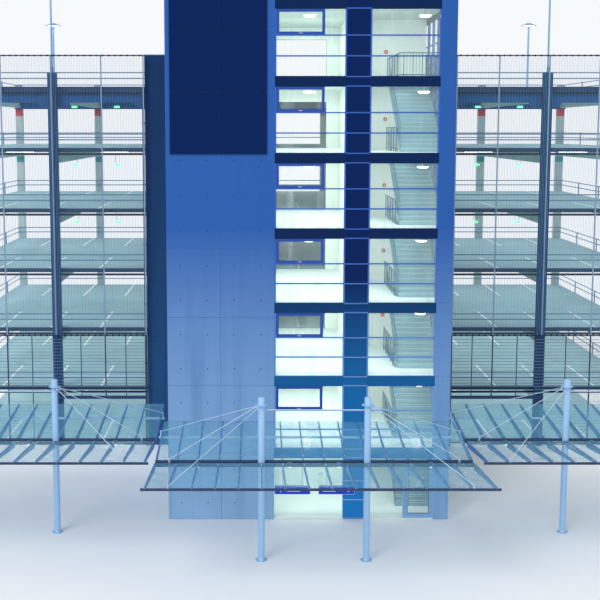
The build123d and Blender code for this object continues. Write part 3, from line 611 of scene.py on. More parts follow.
class Paintbox:
    """All finishes of the building by name, each made when first asked for."""

    # A step so long that no joint falls on the building
    UNJOINTED = 80.0

    def __init__(self, places: Places) -> None:
        """Write the finishes down.

        Args:
            places: the measured places of the building.
        """
        rows = (*self.walls(places), *self.paints(places.levels[-1]), *self.glass(), *self.metals(),
                *self.fittings())
        self.finishes = {row.name: row for row in rows}
        self.made: dict[str, bpy.types.Material] = {}

    def walls(self, places: Places) -> list[Finish]:
        """The finishes of concrete, plaster and screed.

        Args:
            places: the measured places of the building.

        Returns:
            The finishes.
        """
        return [
            # Each row's first colour is painted light at the foot, and its top colour is painted shade at its
            # level
            WallFinish("tower_concrete", srgb(156, 196, 232), 0.72, cloud=0.16, cloud_scale=0.25, streaks=0.2,
                       top=srgb(34, 90, 168), painted_shade_level=12.0, specular=0.3, room=places.hall),
            WallFinish("pier_concrete", srgb(34, 80, 126), 0.75, cloud=0.14, streaks=0.3,
                       top=srgb(20, 52, 98), painted_shade_level=22.3, across=1.88, start=(5.73, 0.0), specular=0.2),
            WallFinish("post_concrete", srgb(144, 186, 226), 0.7, cloud=0.10, streaks=0.2,
                       top=srgb(30, 86, 162), painted_shade_level=12.0, across=self.UNJOINTED,
                       start=(self.UNJOINTED / 2, 0.0), up=places.storey, specular=0.3),
            Finish("indoor_plaster", srgb(240, 248, 240), 0.8, cloud=0.05, bump=0.08),
            Finish("landing_screed", srgb(224, 240, 236), 0.62, cloud=0.08),
            DeckFinish("deck_concrete", srgb(156, 190, 200), 0.7, cloud=0.2, cloud_scale=0.3,
                       soffit=srgb(196, 212, 208), line=srgb(242, 248, 248), edge=srgb(30, 58, 92),
                       front=places.facade, back=places.back),
            Finish("beam_concrete", srgb(190, 206, 200), 0.75, cloud=0.10),
            Finish("edge_concrete", srgb(42, 92, 148), 0.75, cloud=0.14, streaks=0.3, specular=0.2),
            Finish("tread_concrete", srgb(158, 194, 200), 0.6, cloud=0.1),
        ]

    def paints(self, top: float) -> list[Finish]:
        """The paints of columns, posts, tubes and masts.

        Args:
            top: the level of the roof deck, which the columns' bands are counted down from.

        Returns:
            The finishes.
        """
        navy = srgb(30, 52, 92)
        bands = ((top - 1.26, top - 0.78, srgb(214, 62, 66)), (top - 4.15, top - 3.80, srgb(58, 148, 150)))
        return [
            Finish("column_paint", srgb(40, 80, 124), 0.7, cloud=0.14, streaks=0.3, specular=0.2),
            BandedFinish("banded_columns", srgb(176, 192, 190), 0.7, bands=bands),
            BandedFinish("screen_post_paint", srgb(150, 172, 198), 0.42, bands=((-1.0, 5.7, navy),)),
            BandedFinish("edge_tube_paint", srgb(168, 202, 232), 0.36, metallic=0.2,
                         bands=((3.95, 9.0, navy),)),
            Finish("mast_paint", srgb(160, 200, 238), 0.34, metallic=0.1, cloud=0.06, streaks=0.15, coat=0.2),
        ]

    def glass(self) -> list[Finish]:
        """The finishes of the glazing, its panels and its frames.

        Returns:
            The finishes.
        """
        return [
            GlassFinish("window_glass", srgb(220, 242, 236), 0.05, cloud=0.04, bump=0.004),
            GlassFinish("canopy_glass", srgb(120, 188, 216), 0.08, cloud=0.15, bump=0.01,
                        kind=Glazing.TINTED),
            # The next three rows are painted light at the foot and painted shade up at their level, as the
            # walls are
            PaintedLightFinish("dark_panel_glass", srgb(40, 140, 214), 0.16, cloud=0.22, cloud_scale=0.12,
                         bump=0.01, top=srgb(0, 32, 86), specular=0.08),
            PaintedLightFinish("navy_panel", srgb(34, 134, 206), 0.3, cloud=0.08, bump=0.04, top=srgb(2, 34, 80),
                         specular=0.1),
            PaintedLightFinish("blue_frame", srgb(140, 186, 232), 0.38, metallic=0.1, cloud=0.06, bump=0.03,
                         top=srgb(28, 88, 178), painted_shade_level=11.0),
            Finish("deep_blue_frame", srgb(14, 68, 158), 0.38, metallic=0.1, cloud=0.06, bump=0.03),
        ]

    def metals(self) -> list[Finish]:
        """The finishes of steelwork, from dark to bright.

        Returns:
            The finishes.
        """
        return [
            Finish("dark_steel", srgb(28, 56, 94), 0.4, metallic=0.3, cloud=0.14, cloud_scale=4.0),
            Finish("screen_steel", srgb(38, 68, 106), 0.42, metallic=0.2, streaks=0.3, specular=0.3),
            Finish("rail_steel", srgb(58, 102, 126), 0.45, cloud=0.08, specular=0.2),
            Finish("rib_steel", srgb(76, 130, 182), 0.36, metallic=0.2, cloud=0.10),
            Finish("zinc_steel", srgb(118, 154, 186), 0.38, metallic=0.5, cloud=0.18, cloud_scale=9.0),
            Finish("stair_steel", srgb(124, 168, 180), 0.5, metallic=0.1, cloud=0.10),
            Finish("pale_blue_steel", srgb(142, 182, 222), 0.36, metallic=0.35, cloud=0.10),
            Finish("stay_steel", srgb(196, 216, 236), 0.3, metallic=0.2, cloud=0.05),
            Finish("brushed_steel", srgb(196, 206, 212), 0.28, metallic=0.9, cloud=0.06, grain_scale=90.0),
        ]

    def fittings(self) -> list[Finish]:
        """The finishes of seals, signs and lamps.

        Returns:
            The finishes.
        """
        return [
            Finish("black_rubber", srgb(24, 28, 34), 0.75, cloud=0.10),
            Finish("joint_sealant", srgb(40, 52, 66), 0.8, cloud=0.10),
            Finish("signal_red", srgb(206, 40, 40), 0.4, cloud=0.08, coat=0.2),
            Finish("sign_blue", srgb(22, 62, 206), 0.3, cloud=0.05, specular=0.15),
            Finish("sign_white", srgb(238, 242, 246), 0.4, cloud=0.03),
            LampFinish("lit_cover", srgb(246, 252, 246), 0.5, cloud=0.03, glow=6.0),
            LampFinish("green_lens", srgb(90, 230, 150), 0.4, cloud=0.03, glow=2.5),
        ]

    def get(self, name: str) -> bpy.types.Material:
        """The material of that name.

        Args:
            name: the finish's name.

        Returns:
            The material, built on the first call.
        """
        if name not in self.made:
            self.made[name] = self.finishes[name].build()
        return self.made[name]


# Shapes
class Shape(Enum):
    """The solids that rows of like pieces are made of."""

    BOX = "box"
    ROD = "rod"


class Rows:
    """A Geometry Nodes tree that sets one solid in two crossing rows."""

    INPUTS = {"Start": "Vector", "Size": "Vector", "Turn": "Vector", "Step A": "Vector", "Count A": "Int",
              "Step B": "Vector", "Count B": "Int", "Sides": "Int", "Material": "Material"}

    @classmethod
    @cache
    def tree(cls, shape: Shape) -> Tree:
        """The tree for one kind of solid, built once.

        Args:
            shape: the solid that is repeated.

        Returns:
            The node tree.
        """
        tree = bpy.data.node_groups.new(f"rows_of_{shape.value}", "GeometryNodeTree")
        tree.interface.new_socket(name="Geometry", in_out="OUTPUT", socket_type="NodeSocketGeometry")
        for label, kind in cls.INPUTS.items():
            tree.interface.new_socket(name=label, in_out="INPUT", socket_type=f"NodeSocket{kind}")
        nodes, link = tree.nodes, tree.links.new
        given, out = nodes.new("NodeGroupInput").outputs, nodes.new("NodeGroupOutput")
        rows = [cls.line(tree, given[f"Step {row}"], given[f"Count {row}"]) for row in "AB"]
        link(given["Start"], rows[0].inputs["Start Location"])
        points = cls.copies(tree, rows[0].outputs[0], rows[1].outputs[0])
        solids = cls.copies(tree, points, cls.solid(tree, given, shape), given["Turn"])
        paint = nodes.new("GeometryNodeSetMaterial")
        link(solids, paint.inputs["Geometry"])
        link(given["Material"], paint.inputs["Material"])
        link(paint.outputs[0], out.inputs[0])
        return tree

    @staticmethod
    def line(tree: Tree, step: Socket, count: Socket) -> bpy.types.Node:
        """A line of points.

        Args:
            tree: the tree to build in.
            step: the way from one point to the next.
            count: how many points it has.

        Returns:
            The line's node.
        """
        node = tree.nodes.new("GeometryNodeMeshLine")
        node.mode = "OFFSET"
        tree.links.new(step, node.inputs["Offset"])
        tree.links.new(count, node.inputs["Count"])
        return node

    @staticmethod
    def copies(tree: Tree, points: Socket, solid: Socket, turn: Socket | None = None) -> Socket:
        """A real copy of a solid at each point.

        Args:
            tree: the tree to build in.
            points: where the copies stand.
            solid: what is copied.
            turn: how each copy is turned.

        Returns:
            The copies' mesh.
        """
        place = tree.nodes.new("GeometryNodeInstanceOnPoints")
        plain = tree.nodes.new("GeometryNodeRealizeInstances")
        tree.links.new(points, place.inputs["Points"])
        tree.links.new(solid, place.inputs["Instance"])
        if turn:
            tree.links.new(turn, place.inputs["Rotation"])
        tree.links.new(place.outputs[0], plain.inputs[0])
        return plain.outputs[0]

    @staticmethod
    def solid(tree: Tree, given: bpy.types.NodeOutputs, shape: Shape) -> Socket:
        """The repeated solid: a box of the size, or an upright rod as wide as the size's X.

        Args:
            tree: the tree to build in.
            given: the tree's inputs.
            shape: the kind of solid.

        Returns:
            The solid's mesh.
        """
        if shape is Shape.BOX:
            cube = tree.nodes.new("GeometryNodeMeshCube")
            tree.links.new(given["Size"], cube.inputs["Size"])
            return cube.outputs["Mesh"]
        shading = Shading(tree)
        size = shading.split(given["Size"])
        rod = tree.nodes.new("GeometryNodeMeshCylinder")
        shading.link(given["Sides"], rod.inputs["Vertices"])
        shading.link(shading.calc("MULTIPLY", size["X"], 0.5), rod.inputs["Radius"])
        shading.link(size["Z"], rod.inputs["Depth"])
        return rod.outputs["Mesh"]

    @classmethod
    def mesh(cls, shape: Shape, values: dict[str, object]) -> bpy.types.Mesh:
        """Evaluate the tree with its inputs set, as a plain mesh.

        Args:
            shape: the solid that is repeated.
            values: input name to value; the rest stay at one piece.

        Returns:
            The mesh of all copies.
        """
        tree = cls.tree(shape)
        holder = bpy.data.objects.new("row_maker", bpy.data.meshes.new("row_maker"))
        modifier = holder.modifiers.new("rows", "NODES")
        modifier.node_group = tree
        filled = {"Count A": 1, "Count B": 1, "Sides": 8, **values}
        for item in tree.interface.items_tree:
            if item.in_out == "INPUT" and item.name in filled:
                modifier[item.identifier] = filled[item.name]
        bpy.context.scene.collection.objects.link(holder)
        graph = bpy.context.evaluated_depsgraph_get()
        made = bpy.data.meshes.new_from_object(holder.evaluated_get(graph), depsgraph=graph)
        holder.modifiers.remove(modifier)
        bpy.data.objects.remove(holder)
        return made


class Piece:
    """Collects solids in one mesh and finishes them as one object."""

    SHARP = math.radians(40.0)

    def __init__(self, name: str, material: bpy.types.Material) -> None:
        """Start an empty piece.

        Args:
            name: the object's name.
            material: what it is finished with.
        """
        self.name = name
        self.material = material
        self.mesh = bmesh.new()

    def box(self, low: Point, high: Point) -> "Piece":
        """A box between two corners.

        Args:
            low: the corner with the least X, Y and Z.
            high: the corner opposite.

        Returns:
            The piece itself.
        """
        low, high = Vector(low), Vector(high)
        size = Matrix.Diagonal((*(high - low), 1.0))
        bmesh.ops.create_cube(self.mesh, size=1.0, matrix=Matrix.Translation((low + high) / 2) @ size)
        return self

    def pair(self, low: Point, high: Point) -> "Piece":
        """A box and its mirror image on the building's other side.

        Args:
            low: the corner with the least Y and Z.
            high: the corner opposite.

        Returns:
            The piece itself.
        """
        for side in SIDES:
            left, right = sorted((side * low[0], side * high[0]))
            self.box((left, *low[1:]), (right, *high[1:]))
        return self

    def tube(self, start: Point, end: Point, radius: float, tip: float | None = None,
             sides: int = 12) -> "Piece":
        """A round bar or a cone between two points.

        Args:
            start: the centre of the first end.
            end: the centre of the other end.
            radius: the radius at the start.
            tip: the radius at the end, or the same.
            sides: how many flat sides it has.

        Returns:
            The piece itself.
        """
        start, end = Vector(start), Vector(end)
        way = end - start
        turn = way.to_track_quat("Z", "Y").to_matrix().to_4x4()
        bmesh.ops.create_cone(self.mesh, cap_ends=True, segments=sides, radius1=radius,
                              radius2=radius if tip is None else tip, depth=way.length,
                              matrix=Matrix.Translation((start + end) / 2) @ turn)
        return self

    def post(self, foot: Point, span: Span, radius: float, tip: float | None = None,
             sides: int = 12) -> "Piece":
        """An upright round bar or cone.

        Args:
            foot: the axis and the level that the span is counted from.
            span: its lower and upper end above the foot.
            radius: the radius at the lower end.
            tip: the radius at the upper end, or the same.
            sides: how many flat sides it has.

        Returns:
            The piece itself.
        """
        x, y, z = foot
        return self.tube((x, y, z + span[0]), (x, y, z + span[1]), radius, tip, sides)

    def lathe(self, centre: Point, profile: list[Span], sides: int = 32) -> "Piece":
        """A turned form about an upright axis.

        Args:
            centre: the axis and the level that the profile's heights are counted from.
            profile: radius and height from the lower pole to the upper one, both with radius 0.
            sides: how many steps go round.

        Returns:
            The piece itself.
        """
        new = self.mesh.verts.new
        middle = Vector(centre)
        angles = [2 * math.pi * k / sides for k in range(sides)]
        poles = [new(middle + Vector((0, 0, profile[k][1]))) for k in (0, -1)]
        rings = [[new(middle + Vector((radius * math.cos(a), radius * math.sin(a), height))) for a in angles]
                 for radius, height in profile[1:-1]]
        for k in range(sides):
            after = (k + 1) % sides
            self.mesh.faces.new((poles[0], rings[0][after], rings[0][k]))
            for low, high in zip(rings, rings[1:]):
                self.mesh.faces.new((low[k], low[after], high[after], high[k]))
            self.mesh.faces.new((rings[-1][k], rings[-1][after], poles[1]))
        return self

    def plate(self, outline: list[Span], y_range: Span) -> "Piece":
        """A flat plate that stands upright.

        Args:
            outline: its outline as X and Z.
            y_range: its two faces on Y.

        Returns:
            The piece itself.
        """
        loops = [[self.mesh.verts.new((x, y, z)) for x, z in outline] for y in y_range]
        for loop in loops:
            self.mesh.faces.new(loop)
        for k, (a, b) in enumerate(zip(*loops)):
            after = (k + 1) % len(outline)
            self.mesh.faces.new((a, loops[0][after], loops[1][after], b))
        return self

    def rows(self, shape: Shape, start: Point, size: Point, **values: object) -> "Piece":
        """Solids in one or two rows.

        Args:
            shape: the solid that is repeated.
            start: the centre of the first one.
            size: its size, before it is turned.
            values: step_a, count_a, step_b, count_b, turn and sides, as the tree names them.

        Returns:
            The piece itself.
        """
        named = {label.replace("_", " ").title(): value for label, value in values.items()}
        made = Rows.mesh(shape, {"Start": start, "Size": size, "Material": self.material, **named})
        self.mesh.from_mesh(made)
        bpy.data.meshes.remove(made)
        return self

    def finish(self, body: str = BODY, slot: str | None = None, replaces: tuple[str, ...] = (),
               bevel: float = 0.0, smooth: bool = False) -> bpy.types.Object:
        """Turn the collected solids into an object that rides on its body.

        Args:
            body: the body that it moves with.
            slot: a material slot's name; not used.
            replaces: the fixed nodes that it stands for.
            bevel: the width of its broken edges.
            smooth: whether round sides are shaded round.

        Returns:
            The finished object.
        """
        bmesh.ops.recalc_face_normals(self.mesh, faces=self.mesh.faces)
        data = bpy.data.meshes.new(self.name)
        self.mesh.to_mesh(data)
        self.mesh.free()
        data.materials.clear()
        data.materials.append(self.material)
        for face in data.polygons:
            face.material_index = 0
            face.use_smooth = smooth
        if smooth:
            data.set_sharp_from_angle(angle=self.SHARP)
        made = bpy.data.objects.new(self.name, data)
        bpy.context.scene.collection.objects.link(made)
        if bevel > 0.0:
            edge = made.modifiers.new("broken_edge", "BEVEL")
            edge.width, edge.segments, edge.limit_method = bevel, 1, "ANGLE"
        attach(made, body)
        if replaces:
            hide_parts(*replaces)
        LOG.info("%s: %d faces on %s", self.name, len(data.polygons), body)
        return made


# Sub-assemblies
@dataclass
class Assembly:
    """What every sub-assembly shares: the measured places, the finishes and the fixed nodes."""

    places: Places
    paint: Paintbox
    nodes: dict[str, bpy.types.Object]

    def dress(self, finishes: dict[str, str]) -> None:
        """Give fixed nodes their finish.

        Args:
            finishes: node name to finish name.
        """
        for name, finish in finishes.items():
            data = self.nodes[name].data
            data.materials.clear()
            data.materials.append(self.paint.get(finish))
            LOG.info("%s dressed in %s", name, finish)

    def piece(self, name: str, finish: str) -> Piece:
        """Start a piece in a named finish."""
        return Piece(name, self.paint.get(finish))


@dataclass
class ParkingWings(Assembly):
    """The open decks on both sides, their screens, rails, drains and lamps."""

    columns: tuple[float, ...] = (7.13, 12.13, 17.13)
    column_half: float = 0.22
    screen_posts: tuple[float, ...] = (7.64, 9.69, 12.135, 14.58, 17.025)
    cable_pitch: float = 0.075
    cable_size: float = 0.010
    cable_group: int = 8
    cable_groups: int = 15
    rod_pitch: float = 0.32
    rod_size: float = 0.022
    rods_over_portal: int = 9
    rods_beside_portal: int = 7
    portal_top: float = 2.61
    eyelet_pitch: float = 0.3
    eyelet_count: int = 31
    eyelet_width: float = 0.075
    eyelet_share: float = 1.5
    collar_width: float = 0.09
    collar_share: float = 1.15
    clip: Point = (0.03, 0.05, 0.034)
    clip_behind: float = 0.006
    clip_count: int = 18
    clamp: Point = (0.09, 0.075, 0.08)
    clamp_behind: float = 0.03
    clamp_heights: Span = (0.4, 0.68)
    pipe: float = 0.11
    pipe_collar: float = 0.1375
    pipe_ahead: float = 0.09
    pipe_drop: float = 0.3
    level_pipe_start: float = 7.62
    downpipe_place: float = 7.70
    downpipe_top: float = 17.7
    # Level of the first collar, step and count
    downpipe_collars: tuple[float, float, int] = (1.2, 1.5, 11)
    lamp_half: float = 0.76
    lamp_depths: Span = (4.0, 12.0)
    lamp_drop: float = 0.25
    lamp_end: Point = (0.03, 0.13, 0.1)
    exit_lamp: Point = (0.28, 0.06, 0.1)
    exit_places: tuple[float, ...] = (-11.6, -9.4, 9.4, 11.6)
    exit_depth: float = 3.2
    exit_drop: float = 0.98
    exit_rods: float = 0.1
    exit_rod_radius: float = 0.008
    crown_radius: float = 0.14
    plate_radius: float = 0.17
    plate_thick: float = 0.025
    neck_radius: float = 0.08
    neck_tall: float = 0.15
    pole_top: float = 22.2
    shoe_half: float = 0.13
    shoe_depth: Span = (1.56, 1.83)
    shoe_low: float = 18.65
    shoe_thick: float = 0.02
    sleeve_depth: float = 1.6925
    sleeve_radius: float = 0.062
    sleeve_tall: float = 0.28

    def build(self) -> None:
        """Dress the nodes and add what repeats on them."""
        self.dress({
            "parking_decks": "deck_concrete", "front_columns": "column_paint",
            "rear_columns": "banded_columns", "downstand_beams": "beam_concrete",
            "roof_edge_beams": "edge_concrete", "pier_walls": "pier_concrete",
            "deck_rails": "zinc_steel", "side_rails": "zinc_steel", "rail_posts": "zinc_steel",
            "screen_posts": "screen_post_paint", "screen_brackets": "screen_steel",
            "screen_tubes": "screen_steel", "screen_cables": "zinc_steel", "screen_rods": "zinc_steel",
            "portal_beams": "screen_steel", "luminaires": "lit_cover", "roof_poles": "pale_blue_steel",
        })
        self.screen_cables()
        self.screen_rods()
        self.screen_fittings()
        self.rail_clamps()
        self.drains()
        self.lamp_housings()
        self.exit_lamps()
        self.roof_lamps()

    def screen_cables(self) -> None:
        """The cables between those of the fixed nodes."""
        low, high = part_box("screen_cables")
        middle = (low + high) / 2
        size = (self.cable_size, self.cable_size, high.z - low.z)
        cables = self.piece("screen_cable_lines", "zinc_steel")
        for side in SIDES:
            across = (side * self.cable_pitch * self.cable_group, 0.0, 0.0)
            for k in range(1, self.cable_group + 1):
                if k != self.cable_group // 2:
                    start = (side * (self.screen_posts[0] + self.cable_pitch * k), middle.y, middle.z)
                    cables.rows(Shape.BOX, start, size, step_a=across, count_a=self.cable_groups)
        cables.finish(slot="galvanised")

    def screen_rods(self) -> None:
        """The thick rods between those of the fixed nodes, over and beside the driveways."""
        low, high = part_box("screen_rods")
        rods = self.piece("screen_rod_lines", "zinc_steel")
        last = self.screen_posts[-1]
        runs = ((self.screen_posts[0], self.portal_top, self.rods_over_portal),
                (self.screen_posts[2], self.places.ground, self.rods_beside_portal))
        for side in SIDES:
            for first, base, count in runs:
                start = (side * (first + last) / 2, (low.y + high.y) / 2, base + self.rod_pitch)
                rods.rows(Shape.ROD, start, (self.rod_size, self.rod_size, last - first),
                          step_a=(0.0, 0.0, self.rod_pitch), count_a=count, turn=LEVEL_TURN, sides=6)
        rods.finish(slot="galvanised")

    def screen_fittings(self) -> None:
        """The eyelets on both tubes, the collars at the posts and the clips of the rods."""
        low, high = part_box("screen_tubes")
        y = (low.y + high.y) / 2
        tube = high.y - low.y
        tubes = (low.z + tube / 2, high.z - tube / 2)
        eyelets = self.piece("screen_eyelets", "black_rubber")
        collars = self.piece("screen_collars", "screen_steel")
        clips = self.piece("rod_clips", "dark_steel")
        for side in SIDES:
            first = self.screen_posts[0] + self.eyelet_pitch / 2
            size = (tube * self.eyelet_share, 0.0, self.eyelet_width)
            eyelets.rows(Shape.ROD, (side * first, y, tubes[0]), size,
                         step_a=(side * self.eyelet_pitch, 0.0, 0.0), count_a=self.eyelet_count,
                         step_b=(0.0, 0.0, tubes[1] - tubes[0]), count_b=2, turn=LEVEL_TURN)
            for z in tubes:
                for x in self.screen_posts:
                    collars.rows(Shape.ROD, (side * x, y, z), turn=LEVEL_TURN, sides=16,
                                 size=(tube * self.collar_share, 0.0, self.collar_width))
            for x in (self.screen_posts[0], *self.screen_posts[2:]):
                place = (side * x, y + self.clip_behind, self.portal_top + self.rod_pitch / 2)
                clips.rows(Shape.BOX, place, self.clip, step_a=(0.0, 0.0, self.rod_pitch / 2),
                           count_a=self.clip_count)
        eyelets.finish(slot="galvanised")
        collars.finish(slot="navy_metal", smooth=True)
        clips.finish(slot="galvanised")

    def rail_clamps(self) -> None:
        """The clamps that hold the deck rails to the columns."""
        y = self.places.facade + self.clamp_behind
        clamps = self.piece("deck_rail_clamps", "dark_steel")
        for side in SIDES:
            for x in self.columns[1:]:
                for height in self.clamp_heights:
                    clamps.rows(Shape.BOX, (side * x, y, self.places.storey + height), self.clamp,
                                **self.places.each_storey())
        clamps.finish(slot="galvanised", bevel=0.006)

    def drains(self) -> None:
        """The black pipes under the deck edges and down beside the piers, with their collars."""
        y = self.places.facade - self.pipe_ahead
        z = self.places.storey - self.pipe_drop
        pipes = self.piece("drain_pipes", "black_rubber")
        first, second = self.columns[1:]
        half = self.column_half
        spans = ((self.level_pipe_start, first - half), (first + half, second - half))
        collar, step, count = self.downpipe_collars
        for side in SIDES:
            for left, right in spans:
                pipes.rows(Shape.ROD, (side * (left + right) / 2, y, z), (self.pipe, 0.0, right - left),
                           turn=LEVEL_TURN, sides=12, **self.places.each_storey())
            x = side * self.downpipe_place
            pipes.rows(Shape.ROD, (x, y, self.downpipe_top / 2), (self.pipe, 0.0, self.downpipe_top),
                       sides=12)
            pipes.rows(Shape.ROD, (x, y, collar), (self.pipe_collar, 0.0, self.collar_width),
                       step_a=(0.0, 0.0, step), count_a=count, sides=12)
        pipes.finish(slot="navy_metal", smooth=True)

    def lamp_housings(self) -> None:
        """The metal ends of the long lamps below the decks."""
        ends = self.piece("lamp_ends", "zinc_steel")
        z = self.places.storey - self.lamp_drop
        for side in SIDES:
            for left, right in zip(self.columns, self.columns[1:]):
                for end in SIDES:
                    for depth in self.lamp_depths:
                        x = side * (left + right) / 2 + end * self.lamp_half
                        ends.rows(Shape.BOX, (x, self.places.facade + depth, z), self.lamp_end,
                                  **self.places.each_storey())
        ends.finish(slot="galvanised")

    def exit_lamps(self) -> None:
        """The small green lamps that hang in the upper decks, on pairs of thin rods."""
        lenses = self.piece("exit_lamps", "green_lens")
        rods = self.piece("exit_lamp_rods", "zinc_steel")
        wide, deep, tall = self.exit_lamp
        y = self.places.facade + self.exit_depth
        for level in self.places.levels[3:]:
            z = level - self.exit_drop
            for x in self.exit_places:
                lenses.box((x - wide / 2, y - deep / 2, z), (x + wide / 2, y + deep / 2, z + tall))
                for end in SIDES:
                    rods.post((x + end * self.exit_rods, y, z), (tall, self.exit_drop - self.places.slab),
                              self.exit_rod_radius, sides=6)
        lenses.finish(slot="lamp")
        rods.finish(slot="galvanised")

    def roof_lamps(self) -> None:
        """The round hoods of the roof lamps, with a lit lens below each, and the collars of all poles."""
        low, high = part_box("roof_lamps")
        rim, tall = (high.y - low.y) / 2, high.z - low.z
        axes = [(side * x, (low.y + high.y) / 2, low.z)
                for side in SIDES for x in (high.x - rim, self.columns[0])]
        hood = self.piece("roof_lamp_hoods", "zinc_steel")
        lens = self.piece("roof_lamp_lenses", "lit_cover")
        for axis in axes:
            hood.lathe(axis, [(0.0, 0.03), (rim * 0.9, 0.03), (rim * 0.97, 0.0), (rim, 0.012),
                              (rim * 0.96, 0.05), (rim * 0.66, tall * 0.62), (rim * 0.34, tall * 0.92),
                              (self.crown_radius, tall), (0.0, tall)])
            lens.lathe(axis, [(0.0, 0.006), (rim * 0.7, 0.012), (rim * 0.86, 0.03), (0.0, 0.035)])
        hood.finish(slot="lamp", replaces=("roof_lamps",), smooth=True)
        lens.finish(slot="lamp", smooth=True)
        self.pole_collars(axes)

    def pole_collars(self, axes: list[Point]) -> None:
        """The plates and necks of the lamp poles, and the shoes and sleeves of the front poles.

        Args:
            axes: where the lamp poles stand.
        """
        collars = self.piece("roof_pole_collars", "zinc_steel")
        for x, y, _ in axes:
            collars.post((x, y, self.places.levels[-1]), (0.0, self.plate_thick), self.plate_radius)
            collars.post((x, y, self.pole_top), (-self.neck_tall, 0.0), self.neck_radius)
        half, (front, rear) = self.shoe_half, self.shoe_depth
        high = self.shoe_low + self.shoe_thick
        for x in self.columns[1:]:
            collars.pair((x - half, front, self.shoe_low), (x + half, rear, high))
            for side in SIDES:
                collars.post((side * x, self.sleeve_depth, high), (0.0, self.sleeve_tall), self.sleeve_radius)
        collars.finish(slot="galvanised", smooth=True)


